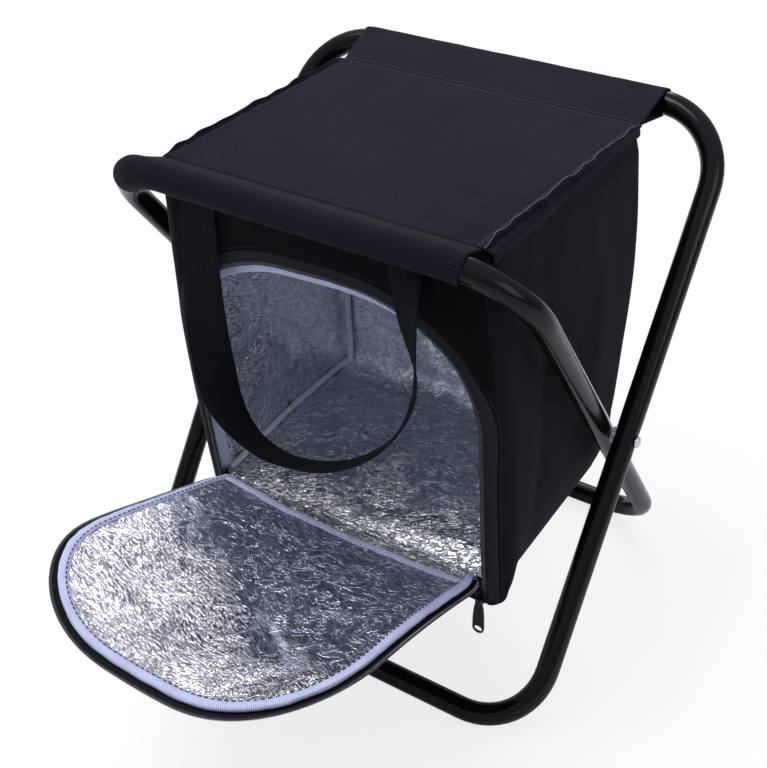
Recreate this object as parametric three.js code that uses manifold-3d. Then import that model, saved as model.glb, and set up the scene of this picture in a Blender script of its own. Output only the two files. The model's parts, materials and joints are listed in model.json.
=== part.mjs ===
// A folding stool with an insulated cooler bag hung under its seat.
// Two bent tube loops cross at a pair of rivets. The seat cloth has a sleeve over each top rail,
// and the bag hangs from the seat's two stitch lines. The bag's arched door unzips and lies forward.
// Millimetres, +X to the right as the door is seen from the front, +Y to the back, +Z up.
import * as THREE from "three";
import { mergeVertices } from "three/addons/utils/BufferGeometryUtils.js";
import Module from "manifold-3d";

const wasm = await Module();
wasm.setup();

// Bent tube frame
const tubeDiameter = 19;
const tubeWall = 1;
const bendRadius = 60;
const innerHalfWidth = 177.5; // bag's middle plane to an inner leg's axis
const legAboveRivet = 265.5;
const legBelowRivet = 259.3;
const legLeanDegrees = 35.88; // from upright, at rest
const tubeButtGap = 0.6;
const spigotLength = 70;
const spigotWall = 1.2;
const spigotClearance = 0.3;

// Rivets
const rivetDiameter = 6;
const rivetHeadDiameter = 10;
const rivetHeadHeight = 3;
const rivetTailDiameter = 9;
const rivetTailHeight = 1.8;
const rivetClearance = 0.1;
const washerThickness = 0.9;
const washerDiameter = 14;

// Clearances
const seatingGap = 0.3;
const seamGap = 0.4;

// Seat cloth and its two sleeves, each side's end short of the leg's axis on that side
const clothThickness = 1.2;
const sleeveClearance = 0.7;
const frontSeamSetback = 20.6; // front rail's axis to the front stitch line
const rearSeamSetback = 58.6; // rear rail's axis to the rear stitch line
const seamRise = 3.4; // seat cloth's middle above the rails' axes
const frontSleeveLeftShort = 21.5;
const frontSleeveRightShort = 42.5;
const frontStitchShort = 58.5; // the sleeve is only gathered round the tube beyond this
const cuffLap = 3; // gathered end over the stitched part
const rearSleeveLeftShort = 52;
const rearSleeveRightShort = 57;
const seatFrontLeftShort = 45.5;
const seatFrontRightShort = 41;
const seatRearLeftShort = 46.5;
const seatRearRightShort = 32.5;

// Cooler bag, set in from the inner legs and from the rails
const bagMiddle = 6; // the bag hangs a little to the right of the frame's middle
const bagSideShortTop = 38.5;
const bagSideShortBottom = 26.5;
const bagSideBelly = 8;
const bagBelowRivets = 109.6;
const bagFrontSetbackTop = 8.6; // front rail's axis to the front face, below the seat seam
const bagFrontSetbackBottom = 31.6;
const bagTuckDepth = 11.5;
const bagTuckHeight = 12;
const bagBackTaper = 22; // rear stitch line to the back's foot
const bagBackBelly = 13;
const backBellySkewShare = 1.3; // above one, the back swells lowest
const frontCornerRadius = 20;
const backCornerRadius = 16;
const shellThickness = 0.9;
const foamThickness = 3.2;
const floorFoamThickness = 6;
const foilThickness = 0.5;

// Door opening, and the door that fills it
const hingeAboveBottom = 21;
const hingeDrop = 8.5; // hinge line above the sill's top edge
const openingSideMargin = 13.6;
const openingTopDrop = 43.7; // front rail's axis down to the arch
const openingFlatHalf = 32.4; // half the arch's level top, between its round corners
const liningSetback = 1.5;
const doorSideClearance = 7.4;
const doorTopClearance = 12;
const doorFlatHalf = 27;
const doorHingeNarrowing = 5; // each side, over the taper's length
const doorTaperLength = 30;
const doorRiseDegrees = 18.8;
const doorDroop = 45;
const doorSideLift = 22;
const doorHingeGap = 0.3;
const bindingWidth = 10.5;
const openingBindingWidth = 6.5;
const bindingThickness = 0.8;
const pipingDiameter = 6;
const hingeBandWidth = 11;

// Zip
const coilDiameter = 2.6;
const tapeWidth = 8;
const tapeThickness = 0.8;
const zipTail = 18; // zip below the hinge line
const sliderWidth = 9.2;
const sliderLength = 13;
const sliderPlate = 2;
const sliderBackPlate = 1.2;
const sliderPost = 1.4;
const bridgeHoleDiameter = 4;
const bridgeRing = 1.2;
const bridgeWidth = 2.2;
const pullLength = 38;
const pullWidth = 10.4;
const pullNeck = 6.4;
const pullThickness = 1.6;
const pullBar = 1.3;
const pullWindowWidth = 3.4;
const pullWindowHeight = 4.4;
const fingerHoleWidth = 7.8;
const fingerHoleHeight = 6.4;
const endTabWidth = 9;
const endTabHeight = 12;
const endTabShoulderShare = 0.6; // straight part of its sides
const endTabThickness = 2.4;

// Carrying handle of flat webbing
const webbingWidth = 33;
const webbingThickness = 1.6;
const handleSideShort = 51; // bag's side at the top to the handle's end
const handleDrop = 172;
const handleReach = 52;
const handleSetback = 5.6; // its sewn ends behind the front rail's axis
const handleMiddle = 4;

// Facet counts
const tubeSides = 16;
const bendSteps = 6;
const roundSides = 16;
const cordSides = 8;
const archSteps = 8;

// Values worked out from the sizes above
const legLean = THREE.MathUtils.degToRad(legLeanDegrees);
const tubeRadius = tubeDiameter / 2;
const outerHalfWidth = innerHalfWidth + tubeDiameter + washerThickness + 2 * seatingGap;
const rivetHeight = tubeRadius + legBelowRivet * Math.cos(legLean);
const railHeight = rivetHeight + legAboveRivet * Math.cos(legLean);
const railReach = legAboveRivet * Math.sin(legLean);
const frontSeam = -railReach + frontSeamSetback;
const rearSeam = railReach - rearSeamSetback;
const seatMiddle = railHeight + seamRise;
const bagTop = seatMiddle - clothThickness / 2 - seatingGap;
const tuckStart = bagTop - bagTuckHeight;
const bagBottomHeight = rivetHeight - bagBelowRivets;
const bagHalfTop = innerHalfWidth - bagSideShortTop;
const bagHalfBottom = innerHalfWidth - bagSideShortBottom;
const bagFrontReachTop = railReach - bagFrontSetbackTop;
const bagFrontReachBottom = railReach - bagFrontSetbackBottom;
const bagBackReachBottom = rearSeam - bagBackTaper;
const openingHalfWidth = bagHalfBottom - openingSideMargin;
const openingTop = railHeight - openingTopDrop;
const openingCornerRadius = openingHalfWidth - openingFlatHalf;
const hingeHeight = bagBottomHeight + hingeAboveBottom;
const doorHalfWidth = openingHalfWidth - doorSideClearance;
const doorHingeHalfWidth = doorHalfWidth - doorHingeNarrowing;
const doorCornerRadius = doorHalfWidth - doorFlatHalf;
const doorReach = openingTop - hingeHeight - doorTopClearance; // plan length, as it lies open
const handleHalfSpan = bagHalfTop - handleSideShort;
const foamInset = shellThickness + seatingGap;
const foilInset = foamInset + foamThickness + seatingGap;
const wallDepth = foilInset + foilThickness;
const sillTop = hingeHeight - hingeDrop;
const hingeLine = frontFace(hingeHeight) + wallDepth;

const model = new THREE.Group();

const enamel = new THREE.MeshStandardMaterial({ color: 0x0a0a0c, roughness: 0.22, metalness: 0.5 });
const zinc = new THREE.MeshStandardMaterial({ color: 0xa9abb0, roughness: 0.35, metalness: 1 });
const steel = new THREE.MeshStandardMaterial({ color: 0x6d6f75, roughness: 0.4, metalness: 1 });
const oxford = new THREE.MeshStandardMaterial({ color: 0x191a24, roughness: 0.92, metalness: 0 });
const foam = new THREE.MeshStandardMaterial({ color: 0xe6e7ec, roughness: 0.85, metalness: 0 });
const foil = new THREE.MeshStandardMaterial({ color: 0xb4b7c2, roughness: 0.32, metalness: 0.9 });
const binding = new THREE.MeshStandardMaterial({ color: 0xb4b8dc, roughness: 0.7, metalness: 0 });
const zipBlack = new THREE.MeshStandardMaterial({ color: 0x0c0c10, roughness: 0.45, metalness: 0 });
const webbing = new THREE.MeshStandardMaterial({ color: 0x121319, roughness: 0.85, metalness: 0 });

function named(name, geometry, material, parent = model) {
  const mesh = new THREE.Mesh(geometry, material.clone());
  mesh.name = name;
  parent.add(mesh);
  return mesh;
}

// Turns a closed mesh's faces outwards if they point inwards.
function facingOut(geometry) {
  const place = geometry.getAttribute("position");
  const index = geometry.index.array;
  const [a, b, c] = [new THREE.Vector3(), new THREE.Vector3(), new THREE.Vector3()];
  let volume = 0;
  for (let i = 0; i < index.length; i += 3) {
    a.fromBufferAttribute(place, index[i]);
    b.fromBufferAttribute(place, index[i + 1]);
    c.fromBufferAttribute(place, index[i + 2]);
    volume += a.dot(b.cross(c));
  }
  if (volume < 0) {
    for (let i = 0; i < index.length; i += 3) {
      [index[i + 1], index[i + 2]] = [index[i + 2], index[i + 1]];
    }
  }
  return geometry;
}

function toManifold(geometry) {
  const bare = geometry.clone();
  bare.deleteAttribute("normal");
  bare.deleteAttribute("uv");
  const merged = mergeVertices(bare);
  return new wasm.Manifold(
    new wasm.Mesh({
      numProp: 3,
      vertProperties: merged.getAttribute("position").array,
      triVerts: new Uint32Array(merged.index.array),
    }),
  );
}

function fromManifold(solid) {
  const mesh = solid.getMesh();
  const geometry = new THREE.BufferGeometry();
  geometry.setAttribute("position", new THREE.BufferAttribute(new Float32Array(mesh.vertProperties), 3));
  geometry.setIndex(new THREE.BufferAttribute(new Uint32Array(mesh.triVerts), 1));
  return geometry;
}

function cutAway(geometry, cutters) {
  let solid = toManifold(geometry);
  for (const cutter of cutters) {
    solid = solid.subtract(toManifold(cutter));
  }
  return fromManifold(solid);
}

function joined(pieces) {
  let solid = toManifold(pieces[0]);
  for (const piece of pieces.slice(1)) {
    solid = solid.add(toManifold(piece));
  }
  return fromManifold(solid);
}

// A closed solid between two grids of points, such as the two faces of a piece of cloth.
function slab(faceRows, backRows) {
  const rows = faceRows.length;
  const columns = faceRows[0].length;
  const points = [...faceRows.flat(), ...backRows.flat()];
  const back = rows * columns;
  const at = (row, column) => row * columns + column;
  const index = [];
  const quad = (a, b, c, d) => index.push(a, b, c, a, c, d);
  const turnedQuad = (a, b, c, d) => index.push(a, c, b, a, d, c);
  for (let row = 0; row + 1 < rows; row += 1) {
    for (let column = 0; column + 1 < columns; column += 1) {
      const corners = [at(row, column), at(row, column + 1), at(row + 1, column + 1), at(row + 1, column)];
      quad(...corners);
      turnedQuad(...corners.map((corner) => corner + back));
    }
  }
  const rim = [];
  for (let column = 0; column + 1 < columns; column += 1) rim.push(at(0, column));
  for (let row = 0; row + 1 < rows; row += 1) rim.push(at(row, columns - 1));
  for (let column = columns - 1; column > 0; column -= 1) rim.push(at(rows - 1, column));
  for (let row = rows - 1; row > 0; row -= 1) rim.push(at(row, 0));
  rim.forEach((here, i) => {
    const next = rim[(i + 1) % rim.length];
    quad(next, here, here + back, next + back);
  });
  const geometry = new THREE.BufferGeometry();
  const places = new Float32Array(points.flatMap((point) => [point.x, point.y, point.z]));
  geometry.setAttribute("position", new THREE.BufferAttribute(places, 3));
  geometry.setIndex(index);
  return facingOut(geometry);
}

// A path through given stations, each a point and its direction, close together only in the bends.
class StationPath extends THREE.Curve {
  constructor(stations, steady) {
    super();
    this.stations = stations;
    this.steady = steady;
  }

  getPointAt(share, target = new THREE.Vector3()) {
    return target.copy(this.stations[Math.round(share * (this.stations.length - 1))].point);
  }

  getTangentAt(share, target = new THREE.Vector3()) {
    return target.copy(this.stations[Math.round(share * (this.stations.length - 1))].direction);
  }

  getPoint(share, target) {
    return this.getPointAt(share, target);
  }

  // Keeps the section's second axis as near as can be to one fixed direction.
  computeFrenetFrames() {
    const tangents = this.stations.map(({ direction }) => direction.clone());
    const binormals = tangents.map((along) =>
      this.steady.clone().addScaledVector(along, -this.steady.dot(along)).normalize(),
    );
    const normals = tangents.map((along, i) => binormals[i].clone().cross(along));
    return { tangents, normals, binormals };
  }
}

const backward = new THREE.Vector3(0, 1, 0);
const sideways = new THREE.Vector3(1, 0, 0);
function swept(shape, stations, steady = backward) {
  return new THREE.ExtrudeGeometry(shape, {
    steps: stations.length - 1,
    curveSegments: tubeSides,
    extrudePath: new StationPath(stations, steady),
  });
}

// Points with directions taken from their neighbours.
function stationsThrough(points) {
  return points.map((point, i) => {
    const before = points[Math.max(i - 1, 0)];
    const after = points[Math.min(i + 1, points.length - 1)];
    return { point, direction: after.clone().sub(before).normalize() };
  });
}

function polygonPoints(radius, sides, turn = 0) {
  return Array.from({ length: sides }, (_, i) => {
    const angle = turn + (i * 2 * Math.PI) / sides;
    return new THREE.Vector2(radius * Math.cos(angle), radius * Math.sin(angle));
  });
}

function lathed(profile, sides = roundSides) {
  return new THREE.LatheGeometry(profile.map(([r, h]) => new THREE.Vector2(r, h)), sides);
}

// Bent tube frame

// One quarter bend, from its start angle, about a centre in the frame's own plane.
function bendStations(centreX, centreZ, startAngle, endAngle, steps = bendSteps) {
  return Array.from({ length: steps + 1 }, (_, i) => {
    const angle = startAngle + ((endAngle - startAngle) * i) / steps;
    const point = new THREE.Vector3(
      centreX + bendRadius * Math.sin(angle),
      0,
      centreZ + bendRadius * Math.cos(angle),
    );
    return { point, direction: new THREE.Vector3(Math.cos(angle), 0, -Math.sin(angle)) };
  });
}

function loopStations(halfWidth) {
  const sideX = halfWidth - bendRadius;
  const topZ = legAboveRivet - bendRadius;
  const bottomZ = -legBelowRivet + bendRadius;
  const quarter = Math.PI / 2;
  const across = new THREE.Vector3(1, 0, 0);
  return [
    { point: new THREE.Vector3(tubeButtGap / 2, 0, legAboveRivet), direction: across },
    ...bendStations(sideX, topZ, 0, quarter),
    ...bendStations(sideX, bottomZ, quarter, 2 * quarter),
    ...bendStations(-sideX, bottomZ, 2 * quarter, 3 * quarter),
    ...bendStations(-sideX, topZ, 3 * quarter, 4 * quarter),
    { point: new THREE.Vector3(-tubeButtGap / 2, 0, legAboveRivet), direction: across },
  ];
}

// The tube's section has flat facets, one of which lies level on the ground under the foot rail.
function tubeShape(outerRadius, innerRadius, lean) {
  const corner = Math.cos(Math.PI / tubeSides);
  const turn = Math.PI + lean - Math.PI / tubeSides;
  const shape = new THREE.Shape(polygonPoints(outerRadius / corner, tubeSides, turn));
  shape.holes.push(new THREE.Path(polygonPoints(innerRadius / corner, tubeSides, turn)));
  return shape;
}

function rivetHole(x) {
  const radius = (rivetDiameter / 2 + rivetClearance) / Math.cos(Math.PI / roundSides);
  const hole = new THREE.CylinderGeometry(radius, radius, 2 * tubeDiameter, roundSides);
  return hole.rotateZ(Math.PI / 2).translate(x, 0, 0);
}

function frameTube(halfWidth, lean) {
  const loop = swept(tubeShape(tubeRadius, tubeRadius - tubeWall, lean), loopStations(halfWidth));
  return cutAway(loop, [rivetHole(halfWidth), rivetHole(-halfWidth)]);
}

function spigot(lean) {
  const outer = tubeRadius - tubeWall - spigotClearance;
  const ends = [-spigotLength / 2, spigotLength / 2].map(
    (x) => new THREE.Vector3(x, 0, legAboveRivet),
  );
  return swept(tubeShape(outer, outer - spigotWall, lean), stationsThrough(ends));
}

const innerFrame = new THREE.Group();
innerFrame.rotation.x = legLean;
innerFrame.position.z = rivetHeight;
const outerFrame = new THREE.Group();
outerFrame.rotation.x = -legLean;
outerFrame.position.z = rivetHeight;
model.add(innerFrame, outerFrame);

named("inner_frame_tube", frameTube(innerHalfWidth, legLean), enamel, innerFrame);
named("inner_frame_spigot", spigot(legLean), steel, innerFrame);
named("outer_frame_tube", frameTube(outerHalfWidth, -legLean), enamel, outerFrame);
named("outer_frame_spigot", spigot(-legLean), steel, outerFrame);

// Rivets: a domed head outside the outer leg, a flattened tail inside the inner leg.
const domeSteps = 5;
function rivet() {
  const tailFace = innerHalfWidth - tubeRadius - seatingGap;
  const headFace = outerHalfWidth + tubeRadius + seatingGap;
  const shank = rivetDiameter / 2;
  const dome = Array.from({ length: domeSteps }, (_, i) => {
    const angle = (i * Math.PI) / 2 / domeSteps;
    return [(rivetHeadDiameter / 2) * Math.cos(angle), headFace + rivetHeadHeight * Math.sin(angle)];
  });
  const crown = [0, headFace + rivetHeadHeight];
  const tail = rivetTailDiameter / 2;
  const tailEnd = tailFace - rivetTailHeight;
  return lathed([
    [0, tailEnd],
    [tail - rivetTailHeight / 2, tailEnd],
    [tail, tailEnd + rivetTailHeight / 2],
    [tail, tailFace],
    [shank, tailFace],
    [shank, headFace],
    ...dome,
    crown,
  ]);
}

function washer() {
  const hole = rivetDiameter / 2 + rivetClearance;
  const inside = innerHalfWidth + tubeRadius + seatingGap;
  const outside = inside + washerThickness;
  const rim = washerDiameter / 2;
  return lathed([[hole, inside], [rim, inside], [rim, outside], [hole, outside], [hole, inside]]);
}

for (const [side, turn] of [["right", -Math.PI / 2], ["left", Math.PI / 2]]) {
  named(`pivot_rivet_${side}`, rivet(), zinc).rotation.z = turn;
  named(`pivot_washer_${side}`, washer(), zinc).rotation.z = turn;
}
for (const mesh of model.children.filter((child) => child.name.startsWith("pivot"))) {
  mesh.position.z = rivetHeight;
}

// Seat cloth

// A sleeve's section: cloth round the tube, drawn to a point at its stitch line.
function sleeveShape(setback, lean) {
  const inner = (tubeRadius + sleeveClearance) / Math.cos(Math.PI / tubeSides);
  const outer = inner + clothThickness;
  const reach = Math.hypot(setback, seamRise) - seatingGap;
  const rise = Math.atan2(seamRise, setback);
  // local axes of the section: first towards the rivet along the leg, then the frame's own back
  const tailAngle = Math.PI / 2 - Math.abs(lean) + rise;
  const towards = lean > 0 ? tailAngle : -tailAngle;
  const loop = (radius, tip) => {
    const open = Math.acos(radius / tip);
    const points = [new THREE.Vector2(tip * Math.cos(towards), tip * Math.sin(towards))];
    for (let i = 0; i <= tubeSides; i += 1) {
      const angle = towards + open + ((2 * Math.PI - 2 * open) * i) / tubeSides;
      points.push(new THREE.Vector2(radius * Math.cos(angle), radius * Math.sin(angle)));
    }
    return points;
  };
  const shape = new THREE.Shape(loop(outer, reach));
  shape.holes.push(new THREE.Path(loop(inner, (reach * inner) / outer)));
  return shape;
}

// The gathered end of a sleeve, which hugs the tube beyond the seat's edge.
function cuffShape(lean) {
  return tubeShape(tubeRadius + sleeveClearance + clothThickness, tubeRadius + sleeveClearance, lean);
}

// The part of a top rail between two places across it, round the bends at its ends.
function railStations(halfWidth, from, to) {
  const sideX = halfWidth - bendRadius;
  const topZ = legAboveRivet - bendRadius;
  const bendStep = Math.PI / 2 / bendSteps;
  const station = (x) => {
    const beyond = Math.max(Math.abs(x) - sideX, 0);
    const angle = Math.asin(beyond / bendRadius) * Math.sign(x);
    const height = topZ + bendRadius * Math.cos(angle);
    const direction = new THREE.Vector3(Math.cos(angle), 0, -Math.sin(angle));
    return { point: new THREE.Vector3(x, 0, height), direction };
  };
  const bendPlaces = [2, 1, 0].map((i) => sideX + bendRadius * Math.sin(i * bendStep));
  const places = [...bendPlaces.map((x) => -x), ...bendPlaces.reverse()];
  const inside = places.filter((x) => x > from + tubeWall && x < to - tubeWall);
  return [from, ...inside, to].map(station);
}

const frontStitchHalf = innerHalfWidth - frontStitchShort;
const frontLeftEnd = frontSleeveLeftShort - innerHalfWidth;
const frontRightEnd = innerHalfWidth - frontSleeveRightShort;
const frontRail = (from, to) => railStations(innerHalfWidth, from, to);
named(
  "seat_front_sleeve",
  joined([
    swept(sleeveShape(frontSeamSetback, legLean), frontRail(-frontStitchHalf, frontStitchHalf)),
    swept(cuffShape(legLean), frontRail(frontLeftEnd, -frontStitchHalf + cuffLap)),
    swept(cuffShape(legLean), frontRail(frontStitchHalf - cuffLap, frontRightEnd)),
  ]),
  oxford,
  innerFrame,
);
const rearLeftEnd = rearSleeveLeftShort - outerHalfWidth;
const rearRightEnd = outerHalfWidth - rearSleeveRightShort;
const rearRail = railStations(outerHalfWidth, rearLeftEnd, rearRightEnd);
named("seat_rear_sleeve", swept(sleeveShape(rearSeamSetback, -legLean), rearRail), oxford, outerFrame);

const seatOutline = new THREE.Shape([
  new THREE.Vector2(seatFrontLeftShort - innerHalfWidth, frontSeam + seatingGap),
  new THREE.Vector2(innerHalfWidth - seatFrontRightShort, frontSeam + seatingGap),
  new THREE.Vector2(innerHalfWidth - seatRearRightShort, rearSeam - seatingGap),
  new THREE.Vector2(seatRearLeftShort - innerHalfWidth, rearSeam - seatingGap),
]);
const seatPanel = new THREE.ExtrudeGeometry(seatOutline, { depth: clothThickness, bevelEnabled: false });
named("seat_panel", seatPanel, oxford).position.z = seatMiddle - clothThickness / 2;

// Cooler bag: its plan outline at each height, from which every layer of its walls is set in.

function frontFace(height) {
  if (height > tuckStart) {
    return -bagFrontReachTop + (bagTuckDepth * (height - tuckStart)) / bagTuckHeight;
  }
  const share = (height - bagBottomHeight) / (tuckStart - bagBottomHeight);
  return -(bagFrontReachBottom + (bagFrontReachTop - bagFrontReachBottom) * share);
}

function backFace(height) {
  const share = (height - bagBottomHeight) / (bagTop - bagBottomHeight);
  const straight = bagBackReachBottom + (rearSeam - bagBackReachBottom) * share;
  return straight + bagBackBelly * Math.sin(Math.PI * Math.min(Math.max(share, 0), 1) ** backBellySkewShare);
}

function halfWidthAt(height) {
  const share = (height - bagBottomHeight) / (bagTop - bagBottomHeight);
  const straight = bagHalfBottom + (bagHalfTop - bagHalfBottom) * share;
  return straight + bagSideBelly * Math.sin(Math.PI * Math.min(Math.max(share, 0), 1));
}

// The front wall's surface at a depth into it, which turns back round the corners.
function frontSurface(x, height, inset = 0) {
  const beyond = Math.abs(x - bagMiddle) - (halfWidthAt(height) - frontCornerRadius);
  const radius = frontCornerRadius - inset;
  const turned = Math.min(Math.max(beyond, 0), radius);
  return frontFace(height) + frontCornerRadius - Math.sqrt(radius ** 2 - turned ** 2);
}

const frontSteps = 8;
const sideSteps = 3;
const backSteps = 6;
const cornerSteps = 4;

// A round corner from one angle to the next, in plan.
function cornerPoints(x, y, radius, from, to, steps) {
  return Array.from({ length: steps + 1 }, (_, i) => {
    const angle = from + ((to - from) * i) / steps;
    return new THREE.Vector2(x + radius * Math.cos(angle), y + radius * Math.sin(angle));
  });
}

function between(a, b, steps) {
  return Array.from({ length: steps - 1 }, (_, i) => a.clone().lerp(b, (i + 1) / steps));
}

// The four walls in plan at one height, each a row of points, anticlockwise from above.
function wallRows(height, inset) {
  const half = halfWidthAt(height);
  const front = frontFace(height);
  const back = backFace(height);
  const eighth = Math.PI / 4;
  const frontRadius = frontCornerRadius - inset;
  const backRadius = backCornerRadius - inset;
  const left = bagMiddle - half;
  const right = bagMiddle + half;
  const frontLeft = [left + frontCornerRadius, front + frontCornerRadius, frontRadius];
  const frontRight = [right - frontCornerRadius, front + frontCornerRadius, frontRadius];
  const backRight = [right - backCornerRadius, back - backCornerRadius, backRadius];
  const backLeft = [left + backCornerRadius, back - backCornerRadius, backRadius];
  const halfSteps = cornerSteps / 2;
  const frontRow = [
    ...cornerPoints(...frontLeft, 5 * eighth, 6 * eighth, halfSteps),
    ...cornerPoints(...frontRight, 6 * eighth, 7 * eighth, halfSteps),
  ];
  const flat = between(frontRow[halfSteps], frontRow[halfSteps + 1], frontSteps);
  frontRow.splice(halfSteps + 1, 0, ...flat);
  const rightStart = cornerPoints(...frontRight, 7 * eighth, 8 * eighth, halfSteps);
  const rightEnd = cornerPoints(...backRight, 0, 2 * eighth, cornerSteps);
  const rightRow = [...rightStart, ...between(rightStart[halfSteps], rightEnd[0], sideSteps), ...rightEnd];
  const leftStart = cornerPoints(...backLeft, 2 * eighth, 4 * eighth, cornerSteps);
  const leftEnd = cornerPoints(...frontLeft, 4 * eighth, 5 * eighth, halfSteps);
  const leftRow = [...leftStart, ...between(leftStart[cornerSteps], leftEnd[0], sideSteps), ...leftEnd];
  const rightLast = rightEnd[cornerSteps];
  const backRow = [rightLast, ...between(rightLast, leftStart[0], backSteps), leftStart[0]];
  return { front: frontRow, right: rightRow, back: backRow, left: leftRow };
}

// Draws both ends of a row in, so that neighbouring walls don't touch.
function shortened(row) {
  const drawIn = (end, next) => end.clone().lerp(next, seamGap / 2 / end.distanceTo(next));
  return [drawIn(row[0], row[1]), ...row.slice(1, -1), drawIn(row.at(-1), row.at(-2))];
}

const wallHeightShares = [0, 0.17, 0.34, 0.51, 0.68, 0.84, 1];
const wallHeights = [
  ...wallHeightShares.map((share) => bagBottomHeight + (tuckStart - bagBottomHeight) * share),
  bagTop,
];

function wallLayer(wall, inset, thickness) {
  const grid = (depth) =>
    wallHeights.map((height) =>
      shortened(wallRows(height, depth)[wall]).map((point) => new THREE.Vector3(point.x, point.y, height)),
    );
  return slab(grid(inset), grid(inset + thickness));
}

// The arched opening, seen from the front, drawn larger or smaller by an offset.
function archShape(offset, base) {
  const half = openingHalfWidth + offset;
  const radius = openingCornerRadius + offset;
  const top = openingTop + offset;
  const shape = new THREE.Shape();
  shape.moveTo(bagMiddle - half, base);
  shape.lineTo(bagMiddle + half, base);
  shape.lineTo(bagMiddle + half, top - radius);
  shape.absarc(bagMiddle + half - radius, top - radius, radius, 0, Math.PI / 2, false);
  shape.absarc(bagMiddle - half + radius, top - radius, radius, Math.PI / 2, Math.PI, false);
  shape.closePath();
  return shape;
}

const cutDepth = bagFrontReachTop;
function throughFront(shape) {
  const settings = { depth: cutDepth, bevelEnabled: false, curveSegments: archSteps + 1 };
  const block = new THREE.ExtrudeGeometry(shape, settings);
  return block.rotateX(Math.PI / 2).translate(0, -cutDepth / 3, 0);
}

// The zip runs on below the hinge line in a slot at each side of the sill.
const zipGap = 2 * coilDiameter + sliderPost + 4 * seatingGap;
const zipFoot = hingeHeight - zipTail;
function zipSlots(offset) {
  return [-1, 1].map((side) => {
    const outer = bagMiddle + side * (openingHalfWidth + offset);
    const inner = bagMiddle + side * (openingHalfWidth - zipGap - offset);
    const foot = zipFoot - offset / 2;
    const slot = new THREE.Shape([
      new THREE.Vector2(Math.min(inner, outer), foot),
      new THREE.Vector2(Math.max(inner, outer), foot),
      new THREE.Vector2(Math.max(inner, outer), sillTop + hingeDrop),
      new THREE.Vector2(Math.min(inner, outer), sillTop + hingeDrop),
    ]);
    return throughFront(slot);
  });
}

function frontLayer(inset, thickness, setback) {
  const opening = throughFront(archShape(setback, sillTop));
  return cutAway(wallLayer("front", inset, thickness), [opening, ...zipSlots(setback)]);
}

named("bag_front_shell", frontLayer(0, shellThickness, 0), oxford);
named("bag_front_foam", frontLayer(foamInset, foamThickness, liningSetback), foam);
named("bag_front_foil", frontLayer(foilInset, foilThickness, liningSetback), foil);
for (const wall of ["right", "back", "left"]) {
  named(`bag_${wall}_shell`, wallLayer(wall, 0, shellThickness), oxford);
  named(`bag_${wall}_foam`, wallLayer(wall, foamInset, foamThickness), foam);
  named(`bag_${wall}_foil`, wallLayer(wall, foilInset, foilThickness), foil);
}

// A level layer inside the walls, from one height up to another.
function levelLayer(low, thickness) {
  const rows = wallRows(low, wallDepth + seatingGap);
  const upperRows = wallRows(low + thickness, wallDepth + seatingGap);
  const inner = Object.keys(rows).flatMap((wall) =>
    rows[wall].slice(1).map((point, i) => {
      const other = upperRows[wall][i + 1];
      const nearer = Math.abs(point.x - bagMiddle) < Math.abs(other.x - bagMiddle) ? point.x : other.x;
      const shallower = Math.abs(point.y) < Math.abs(other.y) ? point.y : other.y;
      return new THREE.Vector2(nearer, shallower);
    }),
  );
  const layer = new THREE.ExtrudeGeometry(new THREE.Shape(inner), { depth: thickness, bevelEnabled: false });
  return layer.translate(0, 0, low);
}

const floorFoamHeight = bagBottomHeight + shellThickness + seatingGap;
const floorFoilHeight = floorFoamHeight + floorFoamThickness + seatingGap;
const floorTop = floorFoilHeight + foilThickness;
const ceilingFoamHeight = bagTop - foamThickness;
const ceilingFoilHeight = ceilingFoamHeight - seatingGap - foilThickness;
named("bag_floor_shell", levelLayer(bagBottomHeight, shellThickness), oxford);
named("bag_floor_foam", levelLayer(floorFoamHeight, floorFoamThickness), foam);
named("bag_floor_foil", levelLayer(floorFoilHeight, foilThickness), foil);
named("bag_top_foam", levelLayer(ceilingFoamHeight, foamThickness), foam);
named("bag_top_foil", levelLayer(ceilingFoilHeight, foilThickness), foil);

// Stations round the arch, each a place across and up with the way out of the opening.
const uprightShares = [0, 0.5];
function archStations(base, offset = 0) {
  const half = openingHalfWidth + offset;
  const radius = openingCornerRadius + offset;
  const top = openingTop + offset;
  const arc = (side) =>
    Array.from({ length: archSteps + 1 }, (_, i) => {
      const angle = (i * Math.PI) / 2 / archSteps;
      const out = new THREE.Vector2(side * Math.cos(angle), Math.sin(angle));
      const x = bagMiddle + side * (half - radius) + radius * out.x;
      return { x, z: top - radius + radius * out.y, out };
    });
  const upright = (side) =>
    uprightShares.map((share) => ({
      x: bagMiddle + side * half,
      z: base + (top - radius - base) * share,
      out: new THREE.Vector2(side, 0),
    }));
  return [...upright(-1), ...arc(-1), ...arc(1).reverse(), ...upright(1).reverse()];
}

// A band on the front wall along the opening, between two offsets from its edge.
const bandColumnShares = [0, 0.35, 0.7, 1];
function archBand(base, from, to, inset, thickness) {
  const grid = (depth) =>
    archStations(base).map(({ x, z, out }) =>
      bandColumnShares.map((share) => {
        const offset = from + (to - from) * share;
        const across = x + out.x * offset;
        const up = z + out.y * offset;
        return new THREE.Vector3(across, frontSurface(across, up, depth), up);
      }),
    );
  return slab(grid(inset), grid(inset + thickness));
}

const bandFrom = liningSetback + seatingGap;
const bandTo = bandFrom + openingBindingWidth;
const bandDepth = wallDepth + 2 * seatingGap;
const openingBand = archBand(hingeHeight, bandFrom, bandTo, bandDepth, bindingThickness);
named("opening_binding", openingBand, binding);
named(
  "bag_zip_tape",
  archBand(zipFoot, seatingGap, seatingGap + tapeWidth, -2 * seatingGap - tapeThickness, tapeThickness),
  zipBlack,
);

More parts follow.
